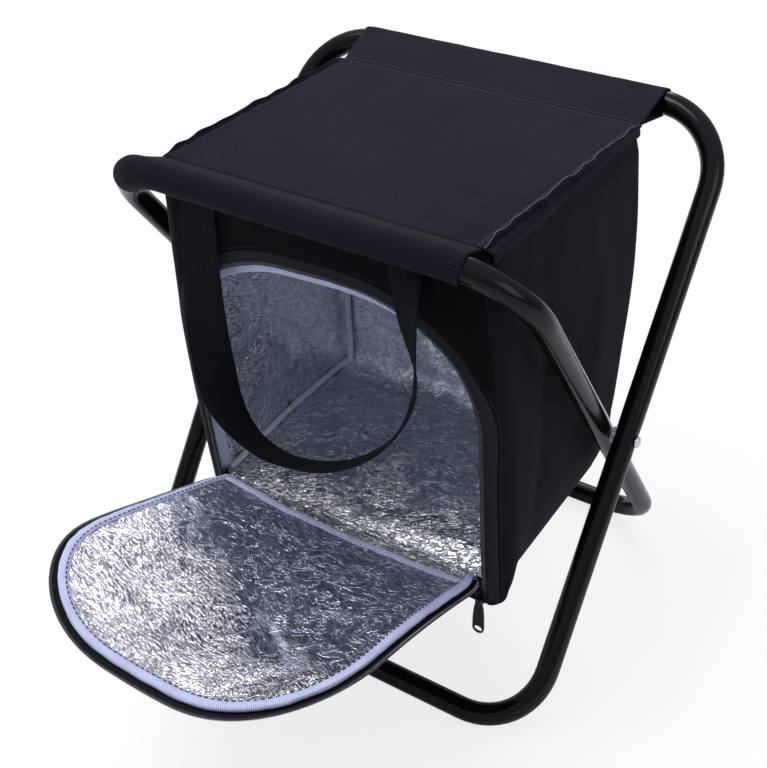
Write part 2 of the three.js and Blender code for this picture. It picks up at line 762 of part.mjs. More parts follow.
const coilRadius = coilDiameter / 2;
const coilShape = new THREE.Shape(polygonPoints(coilRadius, cordSides));
const bagCoilPoints = archStations(zipFoot + seatingGap, -coilRadius - seatingGap).map(
  ({ x, z }) => new THREE.Vector3(x, frontSurface(x, z) + shellThickness / 2, z),
);
named("bag_zip_coil", swept(coilShape, stationsThrough(bagCoilPoints)), zipBlack);

// White cord piping over the inside seams.
const pipingRadius = pipingDiameter / 2;
const pipingInset = wallDepth + 2 * seatingGap + pipingRadius;
const pipingShape = new THREE.Shape(polygonPoints(pipingRadius, cordSides));
for (const [name, side] of [["left", -1], ["right", 1]]) {
  const low = floorTop + seatingGap + pipingRadius;
  const x = bagMiddle + side * (halfWidthAt(bagBottomHeight) - pipingInset);
  const along = [frontFace(low) + frontCornerRadius, backFace(low) - backCornerRadius - pipingDiameter];
  const floorEnds = along.map((y) => new THREE.Vector3(x, y, low));
  named(`floor_seam_piping_${name}`, swept(pipingShape, stationsThrough(floorEnds), sideways), binding);
  const upShares = [0, 0.2, 0.4, 0.6, 0.8, 1];
  const start = low + pipingDiameter;
  const end = ceilingFoilHeight - pipingRadius;
  const corner = backCornerRadius * (1 - Math.SQRT1_2) + pipingInset * Math.SQRT1_2;
  const upright = upShares.map((share) => {
    const height = start + (end - start) * share;
    const across = bagMiddle + side * (halfWidthAt(height) - corner);
    return new THREE.Vector3(across, backFace(height) - corner, height);
  });
  named(`back_seam_piping_${name}`, swept(pipingShape, stationsThrough(upright)), binding);
}

// White band over the seam between the floor and the door.
const bandHalf = doorHingeHalfWidth - seatingGap;
const bandShares = [0, 0.35, 0.7, 1];
function hingeBandRows(lift) {
  return [-bandHalf, -bandHalf / 3, bandHalf / 3, bandHalf].map((x) =>
    bandShares.map((share) => {
      const fall = (hingeHeight - floorTop - bindingThickness - 2 * seatingGap) * share ** 2;
      const y = hingeLine + hingeBandWidth * share;
      return new THREE.Vector3(bagMiddle + x, y, hingeHeight - seatingGap - fall + lift);
    }),
  );
}
named("hinge_seam_band", slab(hingeBandRows(0), hingeBandRows(-bindingThickness)), binding);

// Door, as it lies open: rising from its hinge, drooping to its tip, with its sides lifted.

const doorRise = THREE.MathUtils.degToRad(doorRiseDegrees);
function doorHeight(across, forward) {
  const run = forward / doorReach;
  const lift = doorSideLift * (across / doorHalfWidth) ** 2 * run;
  return hingeHeight + forward * Math.tan(doorRise) - doorDroop * run ** 2 + lift;
}

function doorHalfAt(forward, margin) {
  const taper = Math.max(0, 1 - forward / doorTaperLength) ** 2;
  return doorHalfWidth - (doorHalfWidth - doorHingeHalfWidth) * taper - margin;
}

const doorStraightShares = [0, 0.12, 0.25, 0.5, 0.75];
const doorCornerSteps = 6;
function doorRowPlaces(margin) {
  const straight = doorReach - doorCornerRadius;
  const rows = doorStraightShares.map((share) => {
    const forward = doorHingeGap + (straight - doorHingeGap) * share;
    return { forward, half: doorHalfAt(forward, margin) };
  });
  for (let i = 0; i <= doorCornerSteps; i += 1) {
    const angle = (i * Math.PI) / 2 / doorCornerSteps;
    const out = new THREE.Vector2(Math.cos(angle), Math.sin(angle));
    const radius = doorCornerRadius - margin;
    rows.push({
      forward: straight + radius * out.y,
      half: doorHalfWidth - doorCornerRadius + radius * out.x,
    });
  }
  return rows;
}

const doorColumnShares = [-1, -0.91, -0.7, -0.38, 0, 0.38, 0.7, 0.91, 1];
function doorLayer(depth, thickness, margin) {
  const grid = (below) =>
    doorRowPlaces(margin).map(({ forward, half }) =>
      doorColumnShares.map((share) => {
        const across = half * share;
        return new THREE.Vector3(
          bagMiddle + across,
          hingeLine - forward,
          doorHeight(across, forward) - below,
        );
      }),
    );
  return slab(grid(depth), grid(depth + thickness));
}

// Stations round the door's free edge, from one end of the hinge to the other.
const doorTipShares = [-0.5, 0, 0.5];
function doorEdge(margin) {
  const rows = doorRowPlaces(margin);
  const side = (sign) => rows.map(({ forward, half }) => ({ across: sign * half, forward }));
  const { forward, half } = rows.at(-1);
  const tip = doorTipShares.map((share) => ({ across: half * share, forward }));
  return [...side(-1), ...tip, ...side(1).reverse()];
}

function doorEdgePoint({ across, forward }, below) {
  return new THREE.Vector3(bagMiddle + across, hingeLine - forward, doorHeight(across, forward) - below);
}

const doorFoamDepth = foilThickness + seatingGap;
const doorShellDepth = doorFoamDepth + foamThickness + seatingGap;
named("door_foil", doorLayer(0, foilThickness, liningSetback), foil);
named("door_foam", doorLayer(doorFoamDepth, foamThickness, liningSetback), foam);
named("door_shell", doorLayer(doorShellDepth, shellThickness, 0), oxford);

const doorBindingRows = (below) => {
  const outer = doorEdge(liningSetback);
  const inner = doorEdge(liningSetback + bindingWidth);
  return outer.map((edge, i) => [doorEdgePoint(edge, below), doorEdgePoint(inner[i], below)]);
};
const bindingLow = -2 * seatingGap;
const doorBindingTop = doorBindingRows(bindingLow - bindingThickness);
named("door_binding", slab(doorBindingTop, doorBindingRows(bindingLow)), binding);

const doorCoilPoints = doorEdge(-coilRadius - seatingGap).map((edge) =>
  doorEdgePoint(edge, doorShellDepth + shellThickness / 2),
);
named("door_zip_coil", swept(coilShape, stationsThrough(doorCoilPoints)), zipBlack);

const doorTapeRows = (below) => {
  const outer = doorEdge(seatingGap);
  const inner = doorEdge(seatingGap + tapeWidth);
  return outer.map((edge, i) => [doorEdgePoint(edge, below), doorEdgePoint(inner[i], below)]);
};
const tapeDepth = doorShellDepth + shellThickness + 2 * seatingGap;
const doorTape = slab(doorTapeRows(tapeDepth), doorTapeRows(tapeDepth + tapeThickness));
named("door_zip_tape", doorTape, zipBlack);

// Zip slider and its pull, parked at the right foot of the zip.

const frontFall = frontFace(bagBottomHeight) - frontFace(tuckStart);
const frontSlope = Math.atan2(frontFall, tuckStart - bagBottomHeight);
const slider = new THREE.Group();
const sliderX = bagMiddle + openingHalfWidth - zipGap / 2;
const sliderZ = zipFoot + sliderLength / 2 + 2 * seatingGap;
slider.position.set(sliderX, frontSurface(sliderX, sliderZ) + shellThickness / 2, sliderZ);
slider.rotation.x = frontSlope;
model.add(slider);

function sliderShape() {
  const half = sliderWidth / 2;
  const foot = sliderWidth / 3;
  const shape = new THREE.Shape();
  shape.moveTo(-foot, -sliderLength / 2);
  shape.lineTo(foot, -sliderLength / 2);
  shape.lineTo(half, 0);
  shape.quadraticCurveTo(half, sliderLength / 2, 0, sliderLength / 2);
  shape.quadraticCurveTo(-half, sliderLength / 2, -half, 0);
  shape.closePath();
  return shape;
}

// A flat shape stood up to face forward, its back at a given distance ahead.
function faceForward(shape, thickness, ahead, curveSegments = 6) {
  const plate = new THREE.ExtrudeGeometry(shape, { depth: thickness, bevelEnabled: false, curveSegments });
  return plate.rotateX(Math.PI / 2).translate(0, -ahead, 0);
}

const plateBack = coilRadius + 2 * seatingGap;
const plateFront = plateBack + sliderPlate;
const frontPlate = faceForward(sliderShape(), sliderPlate, plateBack);
const backPlate = faceForward(sliderShape(), sliderBackPlate, -plateBack - sliderBackPlate);
const post = new THREE.BoxGeometry(sliderPost, 2 * plateBack + sliderPlate, sliderLength / 3);
const bridgeRadius = bridgeHoleDiameter / 2;
const bridgeAhead = plateFront + bridgeRadius - seatingGap;
const bridgeShape = new THREE.Shape(polygonPoints(bridgeRadius + bridgeRing, 12));
bridgeShape.holes.push(new THREE.Path(polygonPoints(bridgeRadius, 12)));
const bridge = new THREE.ExtrudeGeometry(bridgeShape, { depth: bridgeWidth, bevelEnabled: false });
bridge.translate(0, 0, -bridgeWidth / 2).rotateY(Math.PI / 2).translate(0, -bridgeAhead, 0);
named("zip_slider", joined([frontPlate, backPlate, post, bridge]), zipBlack, slider);

// The pull hangs by its top bar inside the bridge.
function pullShape() {
  const top = pullBar / 2;
  const neck = pullNeck / 2;
  const half = pullWidth / 2;
  const foot = -pullLength + half;
  const shape = new THREE.Shape();
  shape.moveTo(-neck, top);
  shape.lineTo(-neck, -pullWindowHeight - pullBar);
  shape.quadraticCurveTo(-half, -pullLength / 3, -half, foot);
  shape.absarc(0, foot, half, Math.PI, 2 * Math.PI, false);
  shape.quadraticCurveTo(half, -pullLength / 3, neck, -pullWindowHeight - pullBar);
  shape.lineTo(neck, top);
  shape.closePath();
  const pullWindow = new THREE.Path();
  const side = pullWindowWidth / 2;
  pullWindow.moveTo(-side, -pullBar / 2);
  pullWindow.lineTo(side, -pullBar / 2);
  pullWindow.lineTo(side, -pullBar / 2 - pullWindowHeight);
  pullWindow.lineTo(-side, -pullBar / 2 - pullWindowHeight);
  pullWindow.closePath();
  const hole = new THREE.Path();
  hole.absellipse(0, foot - half / 8, fingerHoleWidth / 2, fingerHoleHeight / 2, 0, 2 * Math.PI, true, 0);
  shape.holes.push(pullWindow, hole);
  return shape;
}

const pull = new THREE.Group();
pull.position.set(0, -bridgeAhead, 0);
pull.rotation.x = -frontSlope;
slider.add(pull);
named("zip_pull", faceForward(pullShape(), pullThickness, -pullThickness / 2, 8), zipBlack, pull);

// The zip's left foot ends in a folded tab of tape.
const tabShoulder = endTabHeight * endTabShoulderShare;
const tabShape = new THREE.Shape();
tabShape.moveTo(-endTabWidth / 2, 0);
tabShape.lineTo(endTabWidth / 2, 0);
tabShape.lineTo(endTabWidth / 2, tabShoulder);
tabShape.quadraticCurveTo(endTabWidth / 2, endTabHeight, 0, endTabHeight);
tabShape.quadraticCurveTo(-endTabWidth / 2, endTabHeight, -endTabWidth / 2, tabShoulder);
tabShape.closePath();
const tabX = bagMiddle - openingHalfWidth + zipGap / 2 - endTabWidth / 3;
const tabAhead = seatingGap + tapeThickness + seatingGap;
const endTab = named("zip_end_tab", faceForward(tabShape, endTabThickness, tabAhead), zipBlack);
endTab.position.set(tabX, frontFace(zipFoot), zipFoot);
endTab.rotation.x = frontSlope;

// Carrying handle: a webbing loop sewn at both ends under the front sleeve.

// across as a share of half the span, forward of the reach, down of the drop, twist of a quarter turn
const handleRouteShares = [
  [-1.02, 0, 0, 0],
  [-1.02, 0, 0.06, 0],
  [-1.03, 0.04, 0.22, 0],
  [-1.03, 0.08, 0.44, 0.03],
  [-0.93, 0.22, 0.82, 0.15],
  [-0.58, 0.44, 0.99, 0.5],
  [0.08, 0.72, 0.96, 0.82],
  [0.6, 0.94, 0.85, 0.9],
  [1.05, 0.86, 0.69, 0.86],
  [1.28, 0.62, 0.47, 0.6],
  [1.27, 0.36, 0.33, 0.35],
  [1.16, 0.13, 0.2, 0.12],
  [1.02, 0.01, 0.08, 0],
  [1.02, 0, 0.01, 0],
];
const handleSteps = 26;
const sleeveRadius = tubeRadius + sleeveClearance + clothThickness;
const handleTop = railHeight - Math.sqrt(sleeveRadius ** 2 - handleSetback ** 2) - 3 * seatingGap;
const handleBack = -railReach + handleSetback;
const handleCurve = new THREE.CatmullRomCurve3(
  handleRouteShares.map(
    ([across, forward, down]) =>
      new THREE.Vector3(
        handleMiddle + handleHalfSpan * across,
        handleBack - handleReach * forward,
        handleTop - handleDrop * down,
      ),
  ),
);
const handleTwists = new THREE.SplineCurve(
  handleRouteShares.map((shares, i) => new THREE.Vector2(i, shares[3])),
);
function webbingRows(face) {
  return Array.from({ length: handleSteps + 1 }, (_, i) => {
    const share = i / handleSteps;
    const place = handleCurve.getPoint(share);
    const along = handleCurve.getTangent(share);
    const twist = (handleTwists.getPoint(share).y * Math.PI) / 2;
    const flat = new THREE.Vector3(0, -1, 0);
    flat.addScaledVector(along, -flat.dot(along)).normalize();
    const wide = new THREE.Vector3().crossVectors(flat, along).applyAxisAngle(along, twist);
    flat.applyAxisAngle(along, twist);
    return [-1, 1].map((edge) =>
      place
        .clone()
        .addScaledVector(wide, (edge * webbingWidth) / 2)
        .addScaledVector(flat, (face * webbingThickness) / 2),
    );
  });
}
named("handle_webbing", slab(webbingRows(1), webbingRows(-1)), webbing);

// The origin is on the ground under the middle of the whole stool.
model.updateMatrixWorld(true);
const reach = new THREE.Box3().setFromObject(model, true);
const middle = reach.getCenter(new THREE.Vector3());
model.position.set(-middle.x, -middle.y, -reach.min.z);

export default model;
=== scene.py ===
import json
import math

import bmesh
import bpy
import numpy as np
from mathutils import Matrix, Vector, noise


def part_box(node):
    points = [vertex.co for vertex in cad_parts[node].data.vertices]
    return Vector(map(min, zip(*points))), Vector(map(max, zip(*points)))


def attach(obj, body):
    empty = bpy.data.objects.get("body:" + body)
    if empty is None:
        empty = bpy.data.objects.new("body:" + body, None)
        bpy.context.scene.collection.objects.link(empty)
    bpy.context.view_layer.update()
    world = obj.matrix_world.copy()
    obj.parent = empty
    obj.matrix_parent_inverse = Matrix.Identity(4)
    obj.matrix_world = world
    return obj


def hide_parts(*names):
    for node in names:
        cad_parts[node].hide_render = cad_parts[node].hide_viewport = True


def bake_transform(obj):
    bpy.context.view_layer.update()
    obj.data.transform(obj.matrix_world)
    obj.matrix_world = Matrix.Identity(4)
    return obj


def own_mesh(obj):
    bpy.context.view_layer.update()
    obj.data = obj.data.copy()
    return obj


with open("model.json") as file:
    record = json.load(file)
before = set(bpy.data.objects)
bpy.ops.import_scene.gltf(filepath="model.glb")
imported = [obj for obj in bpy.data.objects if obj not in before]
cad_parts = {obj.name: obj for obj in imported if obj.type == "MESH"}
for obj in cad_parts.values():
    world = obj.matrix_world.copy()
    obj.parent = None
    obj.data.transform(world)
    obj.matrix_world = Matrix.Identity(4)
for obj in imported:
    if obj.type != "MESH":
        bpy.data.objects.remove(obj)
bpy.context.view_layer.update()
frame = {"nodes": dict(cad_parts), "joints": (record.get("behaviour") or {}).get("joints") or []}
nodes = frame["nodes"]
joints = {joint["name"]: joint for joint in frame["joints"]}

# Sizes in metres, as the frame has them
RIVETS = Vector(joints["fold"]["pos_m"])
HINGE = Vector(joints["door_hinge"]["pos_m"])
SHIFT = RIVETS.y
LEAN = math.radians(35.88)
TUBE_RADIUS = 0.0095
BEND_RADIUS = 0.060
INNER_HALF_WIDTH = 0.1775
OUTER_HALF_WIDTH = 0.1980
LEG_ABOVE = 0.2655
LEG_BELOW = 0.2593
RAIL_REACH = LEG_ABOVE * math.sin(LEAN)
RAIL_HEIGHT = RIVETS.z + LEG_ABOVE * math.cos(LEAN)

CLOTH = 0.0012
CLOTH_SHEET = CLOTH * 0.8
TAPE_SHEET = 0.0007
FOIL_SHEET = 0.0003
WALL_RIM = 0.0004
PAD_FILL = 0.5
FRONT_SEAM_SETBACK = 0.0206
REAR_SEAM_SETBACK = 0.0586
SEAM_RISE = 0.0034
SEAT_HEIGHT = RAIL_HEIGHT + SEAM_RISE
FRONT_SEAM = SHIFT - RAIL_REACH + FRONT_SEAM_SETBACK
REAR_SEAM = SHIFT + RAIL_REACH - REAR_SEAM_SETBACK
SEAT_SAG = 0.0010
SEAM_RIDGE = 0.0036
PAD_SAG = 0.0024
SEAT_FRONT = (-0.132, 0.1365)
SEAT_REAR = (-0.131, 0.145)

BAG_MIDDLE = 0.006
BAG_BOTTOM = 0.110
BAG_TOP = SEAT_HEIGHT - 0.0009
TUCK_HEIGHT = 0.012
TUCK_DEPTH = 0.0115
TUCK_START = BAG_TOP - TUCK_HEIGHT
FRONT_REACH_TOP = RAIL_REACH - 0.0086
FRONT_REACH_BOTTOM = RAIL_REACH - 0.0316
BACK_TAPER = 0.022
BACK_BELLY = 0.013
BELLY_SKEW = 1.3
BAG_HALF_TOP = INNER_HALF_WIDTH - 0.0385
BAG_HALF_BOTTOM = INNER_HALF_WIDTH - 0.0265
SIDE_BELLY = 0.008
FRONT_CORNER = 0.020
BACK_CORNER = 0.016
WALL_PAD = 0.0044
FOIL_DEPTH = 0.00495
WALL_DEPTH = 0.0052
LINING_SETBACK = 0.0015

OPENING_HALF = 0.1374
OPENING_TOP = 0.391
OPENING_CORNER = 0.105
ARCH_PLACES = (-0.120, -0.095, -0.070, -0.040, 0.015, 0.060, 0.095, 0.120)
ARCH_SLUMP = (0.0050, 0.0085, 0.0090, 0.0070, 0.0038, 0.0050, 0.0042, 0.0010)
SLUMP_UPWARDS = (0.28, 0.08)
SILL_TOP = 0.1225
ZIP_FOOT = 0.113
ZIP_GAP = 0.0078
SLOT_OUTER = OPENING_HALF
SLOT_INNER = OPENING_HALF - ZIP_GAP

FLOOR_RISE_RIGHT, FLOOR_RISE_LEFT = 0.014, 0.020
REAR_RISE = 0.006
SETTLE_HEIGHTS = (0.110, 0.145, 0.193, 0.2576, 0.327, 0.420)
SETTLE_RIGHT = (0.004, 0.010, 0.018, 0.014, 0.005, -0.0045)
SETTLE_LEFT = (-0.004, -0.003, 0.004, 0.009, 0.006, 0.0)
SETTLE_EDGE = 0.152
CURL_HEIGHTS, CURL = (0.110, 0.122, 0.145, 0.175), (0.009, 0.006, 0.002, 0.0)
LEFT_CURL = 0.6
LEFT_LEAN_HEIGHTS, LEFT_LEAN = (0.11, 0.15, 0.23, 0.33), (0.013, 0.012, 0.007, 0.0)
# Where each of these changes starts, and how far it takes: across, upwards or to the rear
RISE_ACROSS, RISE_UPWARDS = (-0.06, 0.19), (0.125, 0.085)
RISE_BEHIND, RISE_REARWARD = (-0.016, 0.028), (-0.005, 0.18)
DRAWN_REARWARD = (0.05, 0.12)

DOOR_HALF = 0.130
DOOR_HINGE_HALF = 0.125
HINGE_GAP = 0.0003
DOOR_TAPER = 0.030
DOOR_REACH = 0.248
DOOR_RISE = math.radians(18.8)
DOOR_DROOP = 0.037
DOOR_SIDE_LIFT = 0.026
DOOR_TWIST = 0.006
DOOR_SWELL = 0.006
DOOR_SWELL_PLACE, DOOR_SWELL_WIDTH = 0.160, 0.060
DOOR_SQUARENESS = 2.2
DOOR_CORNER = OPENING_CORNER - 0.002
DOOR_THICKNESS = 0.0052
DOOR_TAPE = 0.003
BINDING_WIDTH = 0.0070

SEATING_GAP = 0.0003
FLOOR_TOP = BAG_BOTTOM + 0.008
PIPING_RADIUS = 0.003
PIPING_TURN = math.radians(12)
HINGE_BAND = 0.011
SEAM_BAND_START, SEAM_BAND_WIDTH, SEAM_BAND_BOW = 0.0180, 0.0085, 0.0125

COIL_RADIUS = 0.0013
COIL_PITCH = 0.0015
COIL_STEPS = 5
BINDING_START, BINDING_START_DEPTH, BINDING_ARCH_DEPTH = 0.0010, 0.0060, 0.0020
BINDING_HANG, BINDING_LEAN, BINDING_DEPTH = 0.0155, 0.0035, 0.0105
SLEEVE_RADIUS = 0.0114
FRONT_SLEEVE = (-0.156, 0.135)
REAR_SLEEVE = (-0.146, 0.141)
WEBBING_WIDTH = 0.032
WEBBING_THICKNESS = 0.0016
WEBBING_RIB, WEBBING_WEFT = 0.0022, 0.0010


# Making meshes

SHARP_ANGLE = math.radians(55)


def step(value, start, span):
    """0 before a start, 1 after the start and a span, and even between them."""
    return np.clip((value - start) / span, 0, 1)


def smooth_step(value, start, span):
    share = step(value, start, span)
    return share * share * (3 - 2 * share)


def unit(vectors):
    """Vectors scaled to a length of 1."""
    return vectors / np.linalg.norm(vectors, axis=-1, keepdims=True)


def face_outwards(mesh):
    """Turns the faces of a closed mesh to look out of it."""
    shell = bmesh.new()
    shell.from_mesh(mesh)
    if all(edge.is_manifold for edge in shell.edges) and shell.calc_volume(signed=True) < 0:
        mesh.flip_normals()
    shell.free()


def clean_mesh(name, points, faces, places):
    """A mesh object from points and faces, with one texture place for each face corner."""
    mesh = bpy.data.meshes.new(name)
    mesh.from_pydata([tuple(p) for p in points], [], faces)
    mesh.update()
    layer = mesh.uv_layers.new(name="UVMap")
    layer.data.foreach_set("uv", np.array(places, np.float32).ravel())
    face_outwards(mesh)
    mesh.polygons.foreach_set("use_smooth", [True] * len(mesh.polygons))
    mesh.set_sharp_from_angle(angle=SHARP_ANGLE)
    piece = bpy.data.objects.new(name, mesh)
    bpy.context.scene.collection.objects.link(piece)
    return piece


def running_lengths(grid, axis, wrap=False):
    """The mean distance covered along one axis of a grid of points."""
    rows = np.moveaxis(grid, axis, 0)
    if wrap:
        rows = np.concatenate([rows, rows[:1]])
    steps = np.linalg.norm(np.diff(rows, axis=0), axis=2).mean(axis=1)
    return np.concatenate([[0], np.cumsum(steps)])


def grid_parts(grid, wrap_columns=False, flip=False, offset=0):
    """Points, faces and texture places, in metres, of a grid of points."""
    rows, columns = grid.shape[:2]
    across = running_lengths(grid, 1, wrap_columns)
    along = running_lengths(grid, 0)
    faces = []
    places = []
    for i in range(rows - 1):
        for j in range(columns if wrap_columns else columns - 1):
            k = (j + 1) % columns
            corners = [(i, j, j), (i, k, j + 1), (i + 1, k, j + 1), (i + 1, j, j)]
            if flip:
                corners.reverse()
            faces.append([offset + r * columns + c for r, c, _ in corners])
            places.extend([(across[u], along[r]) for r, _, u in corners])
    return grid.reshape(-1, 3), faces, places


def grid_piece(name, grid, wrap_columns=False, flip=False):
    return clean_mesh(name, *grid_parts(np.asarray(grid, float), wrap_columns, flip))


def swept_grid(points, section, steady):
    """A grid of points: a section, given across and towards steady, carried along a path."""
    points = np.asarray(points, float)
    tangents = unit(np.gradient(points, axis=0))
    steady = np.broadcast_to(np.asarray(steady, float), points.shape)
    second = unit(steady - (steady * tangents).sum(1)[:, None] * tangents)
    first = np.cross(second, tangents)
    section = np.broadcast_to(np.asarray(section, float), (len(points), *np.shape(section)[-2:]))
    return points[:, None] + section[..., :1] * first[:, None] + section[..., 1:] * second[:, None]


def circle(radius, sides):
    angles = np.arange(sides) * 2 * math.pi / sides
    return np.stack([radius * np.cos(angles), radius * np.sin(angles)], 1)


def closed_tube(name, rings, flip=True):
    """A tube from rings of points, with a flat face over each end."""
    points, faces, places = grid_parts(rings, wrap_columns=True, flip=flip)
    rows, columns = rings.shape[:2]
    first = list(range(columns))
    last = [(rows - 1) * columns + k for k in first[::-1]]
    for ring in (first, last):
        faces.append(ring if flip else ring[::-1])
        places.extend((points[k][0], points[k][2]) for k in faces[-1])
    return clean_mesh(name, points, faces, places)


def grid_normals(grid):
    """Unit normals of a grid of points."""
    across = np.gradient(grid, axis=1)
    along = np.gradient(grid, axis=0)
    normals = np.cross(across, along)
    return normals / np.maximum(np.linalg.norm(normals, axis=2), 1e-12)[..., None]


def roughness_field(grid, scale, seed, octaves=3):
    """A smooth random field from about -1 to 1 over a grid of points, the same in each run."""
    flat = np.asarray(grid, float).reshape(-1, 3) * np.asarray(scale, float) + seed
    values = [noise.fractal(Vector(p), 0.9, 2.0, octaves) for p in flat]
    return np.array(values).reshape(np.shape(grid)[:2])


def edge_fade(rows, columns, margin):
    """0 on the edges of a grid and 1 away from them."""
    along, across = (np.linspace(0, 1, count) for count in (rows, columns))
    fades = [smooth_step(np.minimum(place, 1 - place), 0, margin) for place in (along, across)]
    return fades[0][:, None] * fades[1][None, :]


def cloth_piece(name, grid, thickness, flip=False, offset=0.0):
    """A sheet of cloth, tape or film from a grid of points."""
    piece = grid_piece(name, grid, flip=flip)
    modifier = piece.modifiers.new("thickness", "SOLIDIFY")
    modifier.thickness = thickness
    modifier.offset = offset
    return piece


# Materials

class Nodes:
    """A tree of shader nodes, with short ways to add to it."""

    def __init__(self, tree):
        self.tree = tree

    def link(self, out, into):
        self.tree.links.new(out, into)

    def add(self, kind, inputs=None, **settings):
        node = self.tree.nodes.new(kind)
        for key, value in settings.items():
            setattr(node, key, value)
        for key, value in (inputs or {}).items():
            if isinstance(value, bpy.types.NodeSocket):
                self.link(value, node.inputs[key])
            else:
                node.inputs[key].default_value = value
        return node

    def math(self, operation, a, b=0.0):
        return self.add("ShaderNodeMath", {0: a, 1: b}, operation=operation).outputs[0]

    def times(self, a, b):
        return self.math("MULTIPLY", a, b)

    def plus(self, a, b):
        return self.math("ADD", a, b)

    def ramp(self, value, low, high, start=0.0, end=1.0):
        """A colour that goes from low to high as value goes from start to end."""
        node = self.add("ShaderNodeValToRGB", {"Fac": value})
        for element, place, colour in zip(node.color_ramp.elements, (start, end), (low, high)):
            element.position = place
            element.color = (*colour, 1)
        return node.outputs[0]

    def looked_at(self):
        """1 where the camera looks, straight or through something clear."""
        rays = self.add("ShaderNodeLightPath").outputs
        return self.math("MAXIMUM", rays["Is Camera Ray"], rays["Is Transmission Ray"])

    def sine(self, value, pace):
        return self.math("SINE", self.times(value, pace))

    def blended(self, share, under, over):
        return self.add("ShaderNodeMixShader", {0: share, 1: under, 2: over}).outputs[0]


class Surface(Nodes):
    """A material with its nodes."""

    def __init__(self, name, colour, roughness, metallic=0.0, shine=0.5):
        self.material = bpy.data.materials.new(name)
        self.material.use_nodes = True
        super().__init__(self.material.node_tree)
        self.shader = self.tree.nodes["Principled BSDF"]
        self.set("Base Color", (*colour, 1))
        self.set("Roughness", roughness)
        self.set("Metallic", metallic)
        self.set("Specular IOR Level", shine)

    def set(self, socket, value):
        self.shader.inputs[socket].default_value = value

    def mapped(self, place, turn=0.0, scale=(1, 1, 1)):
        inputs = {"Vector": place, "Rotation": (0, 0, turn), "Scale": scale}
        return self.add("ShaderNodeMapping", inputs).outputs[0]

    def surface_place(self, turn=0.0):
        """A place on the surface, in metres across it and along it."""
        return self.mapped(self.add("ShaderNodeTexCoord").outputs["UV"], turn)

    def solid_place(self):
        return self.mapped(self.add("ShaderNodeTexCoord").outputs["Object"])

    def noise(self, place, scale, detail=3.0, rough=0.55, warp=0.0):
        inputs = {"Vector": place, "Scale": scale, "Detail": detail}
        return self.add("ShaderNodeTexNoise", {**inputs, "Roughness": rough, "Distortion": warp}).outputs[0]

    def span(self, value, low, high, start=0.0, end=1.0):
        inputs = {"Value": value, "From Min": start, "From Max": end, "To Min": low, "To Max": high}
        return self.add("ShaderNodeMapRange", inputs).outputs[0]

    def mixed(self, share, under, over):
        return self.add("ShaderNodeMixRGB", {"Fac": share, "Color1": under, "Color2": over}).outputs[0]

    def bump(self, height, strength, distance, under=None):
        inputs = {"Height": height, "Strength": strength, "Distance": distance}
        if under is not None:
            inputs["Normal"] = under
        return self.add("ShaderNodeBump", inputs).outputs[0]

    def colour(self, out):
        self.link(out, self.shader.inputs["Base Color"])

    def rough(self, out):
        self.link(out, self.shader.inputs["Roughness"])

    def normal(self, out):
        self.link(out, self.shader.inputs["Normal"])


def weave(surface, pitch, turn, rib):
    """The height of a plain weave of threads with a diagonal rib."""
    place = surface.add("ShaderNodeSeparateXYZ", {0: surface.surface_place(turn=turn)})
    wobble = surface.noise(surface.surface_place(), 60, 2.0)
    u, v = (surface.plus(place.outputs[k], surface.times(wobble, pitch * 0.6)) for k in (0, 1))
    pace = math.pi / pitch
    warp, weft, diagonal = (surface.sine(way, pace) for way in (u, v, surface.plus(u, v)))
    plain = surface.plus(surface.times(warp, weft), surface.times(diagonal, rib))
    return surface.span(plain, 0.0, 1.0, -1.0 - rib, 1.0 + rib)


THREAD_HEIGHT = 0.00012


def cloth_surface(name, dark, light, pitch, rib, rough, dust):
    """A woven cloth: threads, uneven dye, faint dust and soft creases."""
    surface = Surface(name, dark, rough, shine=0.06)
    threads = weave(surface, pitch, math.radians(2), rib)
    patches = surface.noise(surface.surface_place(), 9, 5.0, 0.62)
    flecks = surface.noise(surface.surface_place(), 900, 2.0, 0.7)
    lit = surface.times(threads, surface.span(patches, 0.45, 1.15, 0.25, 0.75))
    lit = surface.plus(lit, surface.span(flecks, 0.0, dust * 0.6, 0.62, 0.86))
    surface.colour(surface.ramp(lit, dark, light, 0.05, 1.0))
    creases = surface.noise(surface.surface_place(), 38, 4.0, 0.5, 0.6)
    soft = surface.bump(creases, 0.25, 0.0016)
    surface.normal(surface.bump(threads, 0.55, THREAD_HEIGHT, soft))
    surface.set("Sheen Weight", 0.02)
    surface.set("Sheen Roughness", 0.45)
    return surface.material


def enamel_surface(name):
    """Gloss black enamel on bent steel tube: faint waviness, dust specks and rubbed patches."""
    surface = Surface(name, (0.009, 0.009, 0.010), 0.2, shine=0.17)
    place = surface.surface_place()
    rubbed = surface.noise(place, 26, 6.0, 0.65, 0.4)
    surface.rough(surface.span(rubbed, 0.09, 0.26, 0.35, 0.75))
    specks = surface.noise(place, 700, 2.0, 0.6)
    surface.colour(surface.ramp(specks, (0.003, 0.003, 0.004), (0.050, 0.050, 0.055), 0.68, 0.86))
    peel = surface.noise(place, 420, 2.0, 0.5)
    waves = surface.bump(surface.noise(place, 30, 2.0), 0.10, 0.0012)
    surface.normal(surface.bump(peel, 0.05, 0.0002, waves))
    return surface.material


RIPPLE_TURN = -0.3
RIPPLE_SCALE = (190, 700, 1)


